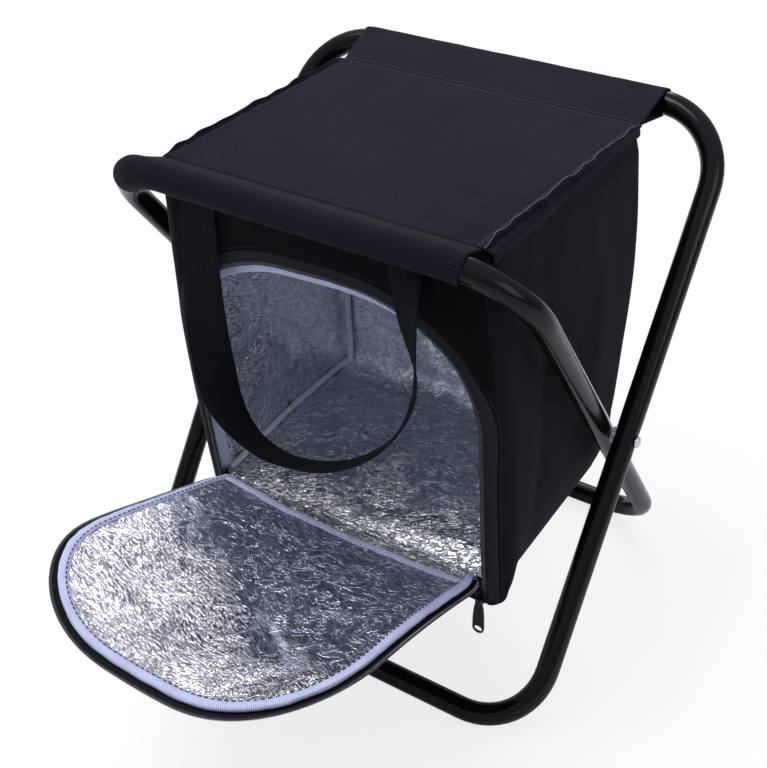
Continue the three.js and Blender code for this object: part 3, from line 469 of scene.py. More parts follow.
def foil_surface(name, dull, bright, mask_scale, mask_range, painted_light_way):
    """Metallised film with fine embossed ripples: dull where smooth, glittering where it is crushed, with
    painted glints.

    dull and bright each hold the colour of the ripples' hollows and that of their crests: painted shade in
    the hollows and painted highlights on the crests.
    The last argument holds a direction, and the distances along it where the film turns from dull to
    bright: painted light, brighter towards one side.
    """
    surface = Surface(name, bright[1], 0.24, 1.0)
    place = surface.surface_place()

    def vectors(operation, a, b):
        return surface.add("ShaderNodeVectorMath", {0: a, 1: b}, operation=operation).outputs

    drift = surface.add("ShaderNodeTexNoise", {"Vector": place, "Scale": 15.0, "Detail": 2.0})
    shift = vectors("MULTIPLY", drift.outputs["Color"], (0.030, 0.030, 0.030))[0]
    warped = vectors("ADD", place, shift)[0]
    stretched = surface.mapped(surface.mapped(warped, RIPPLE_TURN), scale=RIPPLE_SCALE)
    ripples = surface.noise(stretched, 1.0, 2.0, 0.5, 0.6)
    broad = surface.noise(place, 13, 2.0, 0.5, 0.8)
    # Painted light: the film turns crushed and brighter towards one side, along a direction in object
    # space.
    way, painted_light_start, painted_light_end = painted_light_way
    along = vectors("DOT_PRODUCT", surface.solid_place(), way)["Value"]
    painted_light_share = surface.span(along, -0.18, 0.18, painted_light_start, painted_light_end)
    patches = surface.plus(surface.noise(place, mask_scale, 3.0, 0.55, 0.5), painted_light_share)
    mask = surface.span(patches, 0, 1, *mask_range)
    wrinkles = surface.noise(warped, 62, 3.0, 0.55, 1.6)
    nearness = surface.math("ABSOLUTE", surface.math("SUBTRACT", wrinkles, 0.5))
    lines = surface.span(nearness, 1, 0, 0.0, 0.034)
    crushed = surface.times(ripples, surface.span(mask, 0.22, 1.0, 0, 1))
    relief = surface.plus(crushed, surface.times(lines, 0.45))
    surface.normal(surface.bump(relief, 1.0, 0.0013, surface.bump(broad, 0.9, 0.0120)))
    surface.rough(surface.span(mask, 0.32, 0.15, 0.0, 1.0))
    # Painted shade in the ripples' hollows and painted highlights on their crests, white on the bright
    # film.
    soft = surface.ramp(ripples, *dull, 0.38, 0.60)
    hard = surface.ramp(ripples, *bright, 0.42, 0.56)
    film = surface.mixed(mask, soft, hard)
    # Painted glints: white along the wrinkle lines in the crushed patches, more of them towards the painted
    # light's side.
    painted_glint = surface.times(lines, surface.span(patches, 0.0, 0.9, 0.38, 0.56))
    surface.colour(surface.mixed(painted_glint, film, (1, 1, 1, 1)))
    return surface.material


def tape_surface(name, dark, light, pitch, rib_height, rough=0.75):
    """A ribbed tape, with its ribs across its length."""
    surface = Surface(name, light, rough, shine=0.08)
    place = surface.add("ShaderNodeSeparateXYZ", {0: surface.surface_place()})
    pace = 2 * math.pi / pitch
    ribs, threads = surface.sine(place.outputs[1], pace), surface.sine(place.outputs[0], pace * 1.6)
    height = surface.span(surface.plus(ribs, surface.times(threads, 0.4)), 0, 1, -1.4, 1.4)
    stain = surface.noise(surface.surface_place(), 45, 4.0, 0.6)
    mixed = surface.times(height, surface.span(stain, 0.7, 1.2, 0.3, 0.7))
    surface.colour(surface.ramp(mixed, dark, light, 0.0, 0.75))
    surface.normal(surface.bump(height, 0.6, rib_height))
    return surface.material


def webbing_surface(name):
    """Black webbing: ribs along its length crossed by a fine weft."""
    surface = Surface(name, (0.010, 0.010, 0.013), 0.7, shine=0.05)
    place = surface.add("ShaderNodeSeparateXYZ", {0: surface.surface_place()})
    ribs = surface.sine(place.outputs[0], 2 * math.pi / WEBBING_RIB)
    weft = surface.sine(place.outputs[1], 2 * math.pi / WEBBING_WEFT)
    height = surface.span(surface.plus(ribs, surface.times(weft, 0.5)), 0, 1, -1.5, 1.5)
    worn = surface.noise(surface.surface_place(), 60, 4.0)
    lit = surface.times(height, surface.span(worn, 0.6, 1.2, 0.3, 0.7))
    surface.colour(surface.ramp(lit, (0.0016, 0.0016, 0.0027), (0.0078, 0.0082, 0.0118), 0.0, 1.0))
    surface.normal(surface.bump(height, 0.7, 0.0004))
    return surface.material


def plain_surface(name, dark, light, rough, metallic=0.0, scale=300.0):
    """A hard small piece with worn colour and slightly uneven gloss."""
    surface = Surface(name, light, rough, metallic)
    place = surface.solid_place()
    patches = surface.noise(place, scale, 4.0, 0.6)
    surface.colour(surface.ramp(patches, dark, light, 0.3, 0.7))
    surface.rough(surface.span(patches, rough * 0.75, min(1.0, rough * 1.4), 0.3, 0.7))
    surface.normal(surface.bump(patches, 0.15, 0.0003))
    return surface.material


# Each cloth's dark and light colour, its threads' pitch and rib, its roughness and its dust
seat_cloth, bag_cloth, shaded_front_cloth, sleeve_cloth = (cloth_surface(*look) for look in (
    # The seat cloth is lighter than the bag's cloth: a painted sheen on the seat.
    ("seat cloth", (0.0014, 0.0014, 0.0042), (0.0150, 0.0144, 0.0270), 0.0015, 0.7, 0.8, 0.5),
    ("bag cloth", (0.0016, 0.0014, 0.0028), (0.0105, 0.0095, 0.0150), 0.0012, 0.3, 0.85, 0.35),
    # The front cloth is a darker copy of the bag's cloth: painted shade on the front wall.
    ("shaded front cloth", (0.0006, 0.0006, 0.0009), (0.0046, 0.0046, 0.0060), 0.0012, 0.3, 0.85, 0.2),
    ("sleeve cloth", (0.0014, 0.0014, 0.0030), (0.0150, 0.0140, 0.0240), 0.0015, 0.5, 0.8, 0.4),
))
enamel = enamel_surface("gloss enamel")
# Both foils: dull and bright colours with painted shade in the ripples' hollows and painted highlights on
# their crests, and a painted light that brightens them towards the front.
foil = foil_surface(
    "crinkled foil",
    ((0.55, 0.58, 0.67), (0.86, 0.89, 0.96)),
    ((0.30, 0.32, 0.40), (1.0, 1.0, 1.0)),
    17.0, (0.44, 0.52), ((0, -1, 0), -0.12, 0.04),
)
door_foil_look = foil_surface(
    "door foil",
    ((0.28, 0.31, 0.41), (0.74, 0.79, 0.92)),
    ((0.30, 0.27, 0.36), (1.0, 0.97, 1.0)),
    7.0, (0.41, 0.53), ((-0.26, -0.96, 0), 0.10, 0.20),
)
# The pale tape's colours are darker and bluer than the white binding: painted shade.
shaded_pale_tape = tape_surface("shaded pale tape", (0.24, 0.26, 0.42), (0.60, 0.63, 0.84), 0.0014, 0.0005)
piping_tape = tape_surface("piping tape", (0.32, 0.34, 0.48), (0.80, 0.83, 0.98), 0.0016, 0.0005)
zip_cloth = tape_surface("zip tape", (0.006, 0.006, 0.008), (0.016, 0.016, 0.021), 0.0009, 0.0002)
webbing_look = webbing_surface("webbing")
# The zip coil is black; its lighter colour stands in for the highlights on its turns: painted highlight.
lightened_coil_look = plain_surface("zip coil", (0.010, 0.010, 0.012), (0.040, 0.040, 0.046), 0.18)
zinc_look = plain_surface("zinc plate", (0.42, 0.42, 0.43), (0.66, 0.67, 0.69), 0.3, 1.0)
steel_look = plain_surface("rolled steel", (0.25, 0.25, 0.26), (0.45, 0.46, 0.48), 0.4, 1.0)
slider_look = plain_surface("black slider", (0.008, 0.008, 0.009), (0.02, 0.02, 0.022), 0.24, 0.6, 500.0)
dark_thread = plain_surface("dark thread", (0.010, 0.010, 0.018), (0.022, 0.022, 0.035), 0.7)
seam_thread = plain_surface("seam thread", (0.016, 0.016, 0.026), (0.05, 0.05, 0.07), 0.6)
pale_thread = plain_surface("pale thread", (0.04, 0.04, 0.055), (0.14, 0.14, 0.17), 0.7)


def dress(piece, material):
    piece.data.materials.clear()
    piece.data.materials.append(material)


def padded_cloth(piece, material, body, *replaced):
    return finish_piece(piece, material, "bag_cloth", *replaced, body=body, fill=PAD_FILL)


def tape_piece(name, grid, material, slot, body, *replaced, flip=False):
    return finish_piece(cloth_piece(name, grid, TAPE_SHEET, flip), material, slot, *replaced, body=body)


def finish_piece(piece, material, slot, *replaced, body=None, fill=None):
    """Gives a piece its material, the CAD nodes it replaces and its body. slot and fill are not used."""
    dress(piece, material)
    if replaced:
        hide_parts(*replaced)
    if body:
        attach(piece, body)
    return piece


# Camera, light and floor

CAMERA_PLACE = Vector((0.465367, -0.729753 + SHIFT, 0.817492))
CAMERA_AZIMUTH = 0.567
CAMERA_ELEVATION = 0.634
CAMERA_ROLL = -0.012
FOCAL_PIXELS = 1205.897
FRAME_WIDTH, FRAME_HEIGHT = 767, 768
FLOOR_HALF = 6.0
FLOOR_GAP = 0.0005
FLOOR_GLOW = 0.78
SKY_PLACES = (0.0, 0.9)
SKY_COLOURS = ((0.30, 0.31, 0.35), (0.80, 0.83, 0.92))
CENTRE_X, CENTRE_Y = 417.279, 400.782


def make_camera():
    data = bpy.data.cameras.new("camera")
    camera = bpy.data.objects.new("camera", data)
    bpy.context.scene.collection.objects.link(camera)
    az, el = CAMERA_AZIMUTH, CAMERA_ELEVATION
    back = Vector((math.sin(az) * math.cos(el), -math.cos(az) * math.cos(el), math.sin(el)))
    right = Vector((0, 0, 1)).cross(back).normalized()
    up = back.cross(right)
    rolled_right = math.cos(CAMERA_ROLL) * right + math.sin(CAMERA_ROLL) * up
    rolled_up = -math.sin(CAMERA_ROLL) * right + math.cos(CAMERA_ROLL) * up
    turn = Matrix((rolled_right, rolled_up, back)).transposed().to_4x4()
    camera.matrix_world = Matrix.Translation(CAMERA_PLACE) @ turn
    long_side = max(FRAME_WIDTH, FRAME_HEIGHT)
    data.sensor_width = 36
    data.lens = FOCAL_PIXELS * data.sensor_width / long_side
    data.shift_x = (FRAME_WIDTH / 2 - CENTRE_X) / long_side
    data.shift_y = (CENTRE_Y - FRAME_HEIGHT / 2) / long_side
    data.clip_start = 0.02
    data.clip_end = 50
    bpy.context.scene.camera = camera


def area_light(name, place, target, size, energy, colour):
    data = bpy.data.lights.new(name, "AREA")
    data.shape = "RECTANGLE"
    data.size, data.size_y = size
    data.energy = energy
    data.color = colour
    light = bpy.data.objects.new(name, data)
    bpy.context.scene.collection.objects.link(light)
    light.location = place
    light.rotation_euler = (Vector(target) - Vector(place)).to_track_quat("-Z", "Y").to_euler()


def make_world():
    """A soft room, brighter overhead, which is plain white where the camera looks at it."""
    world = bpy.data.worlds.new("studio")
    bpy.context.scene.world = world
    world.use_nodes = True
    room = Nodes(world.node_tree)
    background = room.tree.nodes["Background"]
    way = room.add("ShaderNodeTexCoord").outputs["Generated"]
    height = room.add("ShaderNodeSeparateXYZ", {0: way}).outputs[2]
    room.link(room.ramp(height, *SKY_COLOURS, *SKY_PLACES), background.inputs["Color"])
    background.inputs["Strength"].default_value = 1.0
    white = room.add("ShaderNodeBackground", {"Color": (1, 1, 1, 1), "Strength": 1.0}).outputs[0]
    mixed = room.blended(room.looked_at(), background.outputs[0], white)
    room.link(mixed, room.tree.nodes["World Output"].inputs["Surface"])


def make_floor():
    """A pale floor that fades into the white behind it and keeps the stool's shadow."""
    square = [(0, 0), (1, 0), (1, 1), (0, 1)]
    corners = [(FLOOR_HALF * (2 * u - 1), FLOOR_HALF * (2 * v - 1), 0) for u, v in square]
    floor = clean_mesh("floor", corners, [[0, 1, 2, 3]], square)
    floor.location.z = -FLOOR_GAP
    surface = Surface("pale floor", (0.86, 0.86, 0.87), 0.75)
    patches = surface.noise(surface.solid_place(), 2.0, 3.0)
    surface.colour(surface.ramp(patches, (0.86, 0.86, 0.87), (0.90, 0.90, 0.91), 0.35, 0.65))
    glow = surface.add("ShaderNodeEmission", {"Color": (1, 1, 1, 1), "Strength": 1.0}).outputs[0]
    share = surface.times(surface.looked_at(), FLOOR_GLOW)
    mixed = surface.blended(share, surface.shader.outputs[0], glow)
    surface.link(mixed, surface.tree.nodes["Material Output"].inputs["Surface"])
    dress(floor, surface.material)


bpy.context.scene.view_settings.view_transform = "Standard"
make_camera()
make_world()
make_floor()
# Each light's place, what it points at, its size, power and colour
for light in (
    ("key", (-0.9, -0.4, 2.5), (0, 0.05, 0.25), (1.6, 1.2), 44, (1.0, 0.99, 0.97)),
    ("fill", (2.4, -0.4, 1.5), (0, 0.05, 0.25), (1.4, 1.4), 13, (0.95, 0.97, 1.0)),
    ("rear", (-1.0, 2.0, 1.8), (0, 0.05, 0.3), (1.4, 0.8), 20, (0.97, 0.98, 1.0)),
):
    area_light(*light)


# Where the bag's walls, opening and door are, as the frame has them

def front_face(height):
    """The front wall's outer face at a height."""
    share = (height - BAG_BOTTOM) / (TUCK_START - BAG_BOTTOM)
    sloped = FRONT_REACH_BOTTOM + (FRONT_REACH_TOP - FRONT_REACH_BOTTOM) * share
    tucked = FRONT_REACH_TOP - TUCK_DEPTH * (height - TUCK_START) / TUCK_HEIGHT
    return SHIFT - np.where(height > TUCK_START, tucked, sloped)


def wall_share(height):
    return np.clip((height - BAG_BOTTOM) / (BAG_TOP - BAG_BOTTOM), 0, 1)


def back_face(height):
    share = wall_share(height)
    straight = REAR_SEAM - BACK_TAPER * (1 - share)
    return straight + BACK_BELLY * np.sin(math.pi * share ** BELLY_SKEW)


def half_width(height):
    share = wall_share(height)
    straight = BAG_HALF_BOTTOM + (BAG_HALF_TOP - BAG_HALF_BOTTOM) * share
    return straight + SIDE_BELLY * np.sin(math.pi * share)


def front_surface(x, height, inset=0.0):
    """The front wall's face at a depth into it, which turns back round the corners."""
    beyond = np.abs(x - BAG_MIDDLE) - (half_width(height) - FRONT_CORNER)
    radius = FRONT_CORNER - inset
    return front_face(height) + FRONT_CORNER - np.sqrt(radius ** 2 - np.clip(beyond, 0, radius) ** 2)


def arc(centre_x, centre_y, radius, start, end, steps):
    angles = np.radians(np.linspace(start, end, steps + 1))
    return np.stack([centre_x + radius * np.cos(angles), centre_y + radius * np.sin(angles)], 1)


def wall_row(wall, height, inset):
    """One wall in plan at a height, as a row of points, anticlockwise from above."""
    left, right = BAG_MIDDLE - half_width(height), BAG_MIDDLE + half_width(height)
    front, back = front_face(height) + FRONT_CORNER, back_face(height) - BACK_CORNER
    near, far = FRONT_CORNER - inset, BACK_CORNER - inset
    if wall == "back":
        return np.linspace([right - BACK_CORNER, back + far], [left + BACK_CORNER, back + far], 61)
    if wall == "right":
        start = arc(right - FRONT_CORNER, front, near, -45, 0, 8)
        end = arc(right - BACK_CORNER, back, far, 0, 90, 12)
    else:
        start = arc(left + BACK_CORNER, back, far, 90, 180, 12)
        end = arc(left + FRONT_CORNER, front, near, 180, 225, 8)
    return np.concatenate([start, np.linspace(start[-1], end[0], 45)[1:-1], end])


def wall_grid(wall, inset, rows=70):
    plans = [(wall_row(wall, height, inset), height) for height in np.linspace(BAG_BOTTOM, BAG_TOP, rows)]
    return np.array([np.column_stack([plan, np.full(len(plan), height)]) for plan, height in plans])


def arch_stations(base, offset=0.0, arc_steps=44, upright_steps=50, level_steps=24):
    """Places round the opening's edge, from its left foot to its right foot, and the ways out of it."""
    half, radius, top = OPENING_HALF + offset, OPENING_CORNER + offset, OPENING_TOP + offset
    angles = np.linspace(0, math.pi / 2, arc_steps + 1)
    rise = np.linspace(base, top - radius, upright_steps + 1)[:-1]
    bend = np.column_stack([np.cos(angles), np.sin(angles)])
    upright = np.column_stack([np.full(len(rise), half), rise])
    right = np.concatenate([upright, [half - radius, top - radius] + radius * bend])
    right_out = np.concatenate([np.tile([1.0, 0.0], (len(rise), 1)), bend])
    flat = np.linspace(-(half - radius), half - radius, level_steps + 1)[1:-1]
    level = np.column_stack([flat, np.full(len(flat), top)])
    mirror = np.array([-1.0, 1.0])
    places = np.concatenate([right * mirror, level, right[::-1]])
    ways = np.concatenate([right_out * mirror, np.tile([0.0, 1.0], (len(flat), 1)), right_out[::-1]])
    slump = np.interp(places[:, 0], ARCH_PLACES, ARCH_SLUMP)
    places[:, 1] -= slump * step(places[:, 1], *SLUMP_UPWARDS)
    places[:, 0] += BAG_MIDDLE
    return places, ways


def arch_band(base, offsets, depths):
    """A grid along the opening's edge: each column has its distance outside the edge and its depth."""
    places, ways = arch_stations(base)
    columns = []
    for offset, depth in zip(offsets, depths):
        x, z = (places + ways * offset).T
        columns.append(np.column_stack([x, front_surface(x, z, depth), z]))
    return np.stack(columns, 1)


def door_height(across, forward):
    run = forward / DOOR_REACH
    side = across / DOOR_HALF
    lift = (DOOR_SIDE_LIFT * side ** 2 - DOOR_TWIST * side * run) * run
    return HINGE.z + forward * math.tan(DOOR_RISE) - DOOR_DROOP * run ** 2 + lift


def door_rows(margin, straight_rows=40, corner_rows=30):
    """How far forward each row across the door is, and half its width."""
    level = DOOR_REACH - DOOR_CORNER
    forward = np.linspace(HINGE_GAP, level, straight_rows)
    taper = np.clip(1 - forward / DOOR_TAPER, 0, 1) ** 2
    half = DOOR_HALF - (DOOR_HALF - DOOR_HINGE_HALF) * taper - margin
    angles = np.linspace(0, math.pi / 2, corner_rows + 1)[1:]
    radius = DOOR_CORNER - margin
    power = 2 / DOOR_SQUARENESS
    forward = np.concatenate([forward, level + radius * np.sin(angles) ** power])
    corner = DOOR_HALF - DOOR_CORNER + radius * np.maximum(np.cos(angles), 0) ** power
    return forward, np.concatenate([half, corner])


def door_point(across, forward, depth):
    leftward = np.maximum(-across / DOOR_HALF, 0) ** 2
    swell = DOOR_SWELL * leftward * np.exp(-((forward - DOOR_SWELL_PLACE) / DOOR_SWELL_WIDTH) ** 2)
    points = [BAG_MIDDLE + across - swell, HINGE.y - forward, door_height(across, forward) - depth]
    return np.stack(np.broadcast_arrays(*points), -1)


def door_grid(margin, depth, columns=71):
    """The door's surface at a depth, with its columns closer together near the edges."""
    forward, half = door_rows(margin)
    turn = math.pi / 2 * 0.92
    shares = np.sin(np.linspace(-turn, turn, columns)) / math.sin(turn)
    return door_point(half[:, None] * shares[None, :], forward[:, None], depth)


def door_edge(margin, tip_steps=14):
    """Places round the door's free edge, from one end of the hinge to the other: across and forward."""
    forward, half = door_rows(margin)
    tip = np.linspace(-half[-1], half[-1], tip_steps + 1)[1:-1]
    across = np.concatenate([-half, tip, half[::-1]])
    ahead = np.concatenate([forward, np.full(len(tip), forward[-1]), forward[::-1]])
    return across, ahead


def door_band(margins, depths):
    columns = [door_point(*door_edge(margin), depth) for margin, depth in zip(margins, depths)]
    return np.stack(columns, 1)


# Padded cloth and linings

def settled(points):
    """The bag as it hangs: its floor higher than its front edge, its lower back corners drawn in."""
    x, y, z = points[..., 0] - BAG_MIDDLE, points[..., 1], points[..., 2]
    edge = np.clip(np.abs(x) / SETTLE_EDGE, 0, 1) ** 3
    right = smooth_step(x, *RISE_ACROSS)
    behind = smooth_step(y, *RISE_BEHIND)
    far = step(y, *RISE_REARWARD)
    rise = right * (FLOOR_RISE_RIGHT * behind + REAR_RISE * far) + (1 - right) * FLOOR_RISE_LEFT * far
    low = 1 - smooth_step(z, *RISE_UPWARDS)
    drawn_right, drawn_left = (np.interp(z, SETTLE_HEIGHTS, table) for table in (SETTLE_RIGHT, SETTLE_LEFT))
    drawn = np.where(x > 0, drawn_right, drawn_left) * step(y, *DRAWN_REARWARD)
    curl = np.interp(z, CURL_HEIGHTS, CURL) * behind
    lean = np.where(x < 0, np.interp(z, LEFT_LEAN_HEIGHTS, LEFT_LEAN) * step(y, *DRAWN_REARWARD), 0.0)
    inward = np.where(x > 0, curl, np.maximum(curl * LEFT_CURL, lean))
    across = points[..., 0] - np.sign(x) * inward * edge
    return np.stack([across, y - drawn * edge, z + rise * low], -1)


RIM_TEXTURE = 0.004
RIM_ANGLE = math.radians(50)


def slab_piece(name, face, back, rim=0.0):
    """A closed piece between two grids of points: its face and its back. rim rounds its sharp edges."""
    rows, columns = face.shape[:2]
    points, faces, places = grid_parts(face)
    more, back_faces, back_places = grid_parts(back, flip=True, offset=len(points))
    faces, places = faces + back_faces, places + back_places
    numbers = np.arange(rows * columns).reshape(rows, columns)
    ring = [*numbers[0], *numbers[1:, -1], *numbers[-1, -2::-1], *numbers[-2:0:-1, 0]]
    for k, here in enumerate(ring):
        there = ring[(k + 1) % len(ring)]
        faces.append([there, here, here + len(points), there + len(points)])
        start, end = k * RIM_TEXTURE, (k + 1) * RIM_TEXTURE
        places.extend([(end, 0), (start, 0), (start, RIM_TEXTURE), (end, RIM_TEXTURE)])
    piece = clean_mesh(name, np.concatenate([points, more]), faces, places)
    if rim:
        bevel = piece.modifiers.new("rim", "BEVEL")
        bevel.width = rim
        bevel.segments = 2
        bevel.limit_method = "ANGLE"
        bevel.angle_limit = RIM_ANGLE
    return piece


def puffed(grid, lift, wave, scale, seed, margin=0.1):
    """Raises a grid's points outwards between its edges, with soft uneven waves."""
    fade = edge_fade(*grid.shape[:2], margin)
    amount = lift * fade + wave * fade * roughness_field(grid, scale, seed)
    return grid + grid_normals(grid) * amount[..., None]


def crinkled(grid, depth, scale, seed, free_side):
    """Adds sharp irregular folds towards a grid's free side, as in a film sewn a little slack."""
    fade = edge_fade(*grid.shape[:2], 0.05)
    ridges = 1 - np.abs(roughness_field(grid, scale, seed, 4)) * 2
    broad = roughness_field(grid, [s * 0.35 for s in scale], seed + 9.0, 2)
    amount = np.maximum(depth * fade * (0.35 + 0.5 * ridges + 0.6 * broad), 0)
    normals = grid_normals(grid)
    facing = np.sign((normals * np.asarray(free_side, float)).sum(2).mean())
    return grid + normals * facing * amount[..., None]


def lining_piece(name, grid, replaced, flip=False, look=None, body=None):
    """A crinkled foil lining, sewn along its edges to the padded cloth behind it."""
    piece = cloth_piece(name, grid, FOIL_SHEET, flip)
    finish_piece(piece, look or foil, "foil_lining", *replaced, body=body)
    return piece


def edge_half(height):
    """Half the front wall's width, where it meets the side walls half way round the corners."""
    return half_width(height) - FRONT_CORNER * (1 - math.sqrt(0.5))


def reach_to_rim(x, z, way_x, way_z):
    """How far the front wall's side or top is from a place at the opening, along its way out."""
    level = 1e-6
    reach = (BAG_TOP - z) / way_z if way_z > level else math.inf
    if abs(way_x) > level:
        aside = 0.0
        for _ in range(5):
            height = min(z + way_z * aside, BAG_TOP)
            aside = (BAG_MIDDLE + math.copysign(edge_half(height), way_x) - x) / way_x
        reach = min(reach, aside)
    return reach


def front_panel(inset, lift):
    """The front wall round the opening at a depth into it, from the opening's edge to its rim."""
    places, ways = arch_stations(BAG_BOTTOM)
    places = places + ways * (LINING_SETBACK if inset else 0.0)
    shares = np.linspace(0, 1, 26)
    rows = []
    for (x, z), (way_x, way_z) in zip(places, ways):
        reach = reach_to_rim(x, z, way_x, way_z)
        xs, zs = x + way_x * reach * shares, z + way_z * reach * shares
        rows.append(np.column_stack([xs, front_surface(xs, zs, inset), zs]))
    grid = np.array(rows)
    if lift:
        fade = np.sin(np.linspace(0, math.pi, grid.shape[1])) ** 0.7
        grid[..., 1] -= fade[None, :] * lift * (1 + 0.9 * roughness_field(grid, (14, 14, 9), 3.0))
    return grid


def sill(inset):
    """The strip of wall under the door, lower at its ends, where the zip's feet are."""
    across = np.linspace(-SLOT_OUTER, SLOT_OUTER, 61)
    tops = np.where(np.abs(across) > SLOT_INNER, ZIP_FOOT, SILL_TOP)
    x = BAG_MIDDLE + across
    heights = [BAG_BOTTOM + (tops - BAG_BOTTOM) * share for share in (0, 0.5, 1)]
    return np.array([np.column_stack([x, front_surface(x, z, inset), z]) for z in heights])


def make_front_wall():
    """The wall round the arched opening, with the strip under the door."""
    wall = slab_piece("front_wall", front_panel(0.0, 0.0012), front_panel(WALL_PAD, 0), WALL_RIM)
    strip = slab_piece("sill_strip", sill(0.0), sill(WALL_PAD), WALL_RIM)
    # The front wall and the strip under the door take the darker front cloth: painted shade.
    padded_cloth(wall, shaded_front_cloth, "bag_front", "bag_front_shell", "bag_front_foam")
    padded_cloth(strip, shaded_front_cloth, "bag_front")
    grid = crinkled(front_panel(FOIL_DEPTH, 0), 0.0008, (55, 55, 40), 5.0, (0, 1, 0))
    lining_piece("front_lining", grid, ["bag_front_foil"], True,
                 body="bag_front")


# Tube frame

TUBE_STEP = 0.012
PRESS_DEPTH, PRESS_REACH = 0.05, 0.008


def loop_points(half_width, lean, bend_steps=14):
    """Points round a tube loop. lean turns it about the rivets' axis, positive leans its top forward."""
    side = half_width - BEND_RADIUS
    top, bottom = LEG_ABOVE - BEND_RADIUS, BEND_RADIUS - LEG_BELOW
    flat = []
    for start, centre in enumerate(((side, top), (side, bottom), (-side, bottom), (-side, top))):
        angles = (start + np.arange(bend_steps + 1) / bend_steps) * math.pi / 2
        flat.append(centre + BEND_RADIUS * np.column_stack([np.sin(angles), np.cos(angles)]))
    across, along = np.concatenate(flat).T
    return np.stack([across, RIVETS.y - along * math.sin(lean), RIVETS.z + along * math.cos(lean)], 1)


def tube_piece(name, half_width, lean, body):
    """A bent tube with round sides, pressed a little flat where each rivet goes through."""
    path = loop_points(half_width, lean)
    dense = [path[0]]
    for a, b in zip(path, np.roll(path, -1, 0)):
        pieces = max(1, int(round(np.linalg.norm(b - a) / TUBE_STEP)))
        dense.extend(a + (b - a) * k / pieces for k in range(1, pieces + 1))
    dense = np.array(dense)
    steady = (0, math.cos(lean), math.sin(lean))
    distance = np.linalg.norm(dense[:, 1:] - np.array([RIVETS.y, RIVETS.z]), axis=1)
    press = PRESS_DEPTH * np.exp(-(distance / PRESS_REACH) ** 2)
    section = np.tile(circle(TUBE_RADIUS, 40), (len(dense), 1, 1))
    section[..., 0] *= 1 - press[:, None]
    tube = grid_piece(name, swept_grid(dense, section, steady), wrap_columns=True)
    finish_piece(tube, enamel, "enamelled_tube", name.replace("_round", ""), body=body)


tube_piece("inner_frame_tube_round", INNER_HALF_WIDTH, LEAN, "inner_frame")
tube_piece("outer_frame_tube_round", OUTER_HALF_WIDTH, -LEAN, "outer_frame")
for material, kept_nodes in (
    (zinc_look, ("pivot_rivet_right", "pivot_washer_right", "pivot_rivet_left", "pivot_washer_left")),
    (steel_look, ("inner_frame_spigot", "outer_frame_spigot")),
    (slider_look, ("zip_slider", "zip_pull")),
):
    for node_name in kept_nodes:
        dress(nodes[node_name], material)


# Bag

LINING_FOLDS = (60, 60, 45)
LAYER_CORNER = 0.012
FLOOR_CURVE = 0.022


def make_side_wall(side):
    seed, inwards = (4.0, (-1, 0, 0)) if side == "right" else (11.0, (1, 0, 0))
    outer = puffed(wall_grid(side, 0.0), 0.0016, 0.0014, (9, 9, 6), seed, 0.07)
    if side == "right":
        outer = creased(outer)
    wall = slab_piece(f"{side}_wall", settled(outer), settled(wall_grid(side, WALL_PAD)), WALL_RIM)
    fold_flat(padded_cloth(wall, bag_cloth, "bag_rear", f"bag_{side}_shell", f"bag_{side}_foam"))
    grid = settled(crinkled(wall_grid(side, FOIL_DEPTH, rows=100), 0.0010, LINING_FOLDS, 21.0, inwards))
    fold_flat(lining_piece(f"{side}_lining", grid, [f"bag_{side}_foil"],
                           flip=True, body="bag_rear"))


def creased(grid):
    """Soft upright folds in the right wall, as its cloth hangs from the seat."""
    forward = grid[..., 1] - SHIFT
    height = wall_share(grid[..., 2])
    first = np.exp(-((forward + 0.085 - 0.02 * height) / 0.010) ** 2) * np.sin(math.pi * height) * 0.0016
    second = np.exp(-((forward - 0.045 + 0.03 * height) / 0.022) ** 2) * np.sin(math.pi * height) * 0.0014
    return grid + grid_normals(grid) * (second - first)[..., None]


def fold_flat(piece):
    """Gives a piece between the front and back walls a mesh of its own."""
    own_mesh(piece)


def make_back_and_floor():
    outer = puffed(wall_grid("back", 0.0), 0.0014, 0.0012, (9, 9, 7), 31.0)
    wall = slab_piece("back_wall", settled(outer), settled(wall_grid("back", WALL_PAD)), WALL_RIM)
    half = half_width(BAG_BOTTOM) - WALL_DEPTH - 0.0004
    front = front_face(BAG_BOTTOM) + WALL_DEPTH
    back = back_face(BAG_BOTTOM) - WALL_DEPTH
    top = level_grid(half, front, back, BAG_BOTTOM + 0.0072, 0.0)
    underside = level_grid(half, front, back, BAG_BOTTOM, 0.0016)
    floor = slab_piece("bag_floor", settled(top), settled(underside), WALL_RIM)
    for piece, part in ((wall, "back"), (floor, "floor")):
        fold_flat(padded_cloth(piece, bag_cloth, "bag_rear", f"bag_{part}_shell", f"bag_{part}_foam"))
    grid = settled(crinkled(lining_path_grid(front), 0.0011, LINING_FOLDS, 41.0, (0, -1, 1)))
    fold_flat(lining_piece("back_floor_lining", grid, ["bag_back_foil", "bag_floor_foil"],
                           body="bag_rear"))


def level_grid(half, front, back, height, sag, columns=50, rows=40):
    """A level layer with rounded corners, which may sag between its seams."""
    y = np.linspace(front, back, rows)
    short = np.maximum(LAYER_CORNER - np.minimum(y - front, back - y), 0)
    narrow = half - LAYER_CORNER + np.sqrt(np.maximum(LAYER_CORNER ** 2 - short ** 2, 0))
    x = BAG_MIDDLE + np.linspace(-narrow, narrow, columns, axis=1)
    z = height + sag * edge_fade(rows, columns, 0.2)
    return np.stack([x, np.broadcast_to(y[:, None], x.shape), z], 2)


def hinge_drop(y, floor_z):
    """How high the floor's foil is where it falls from the hinge to the floor."""
    top = HINGE.z + 0.0008
    return top - (top - floor_z) * smooth_step(y - HINGE.y, 0.001, 0.010)


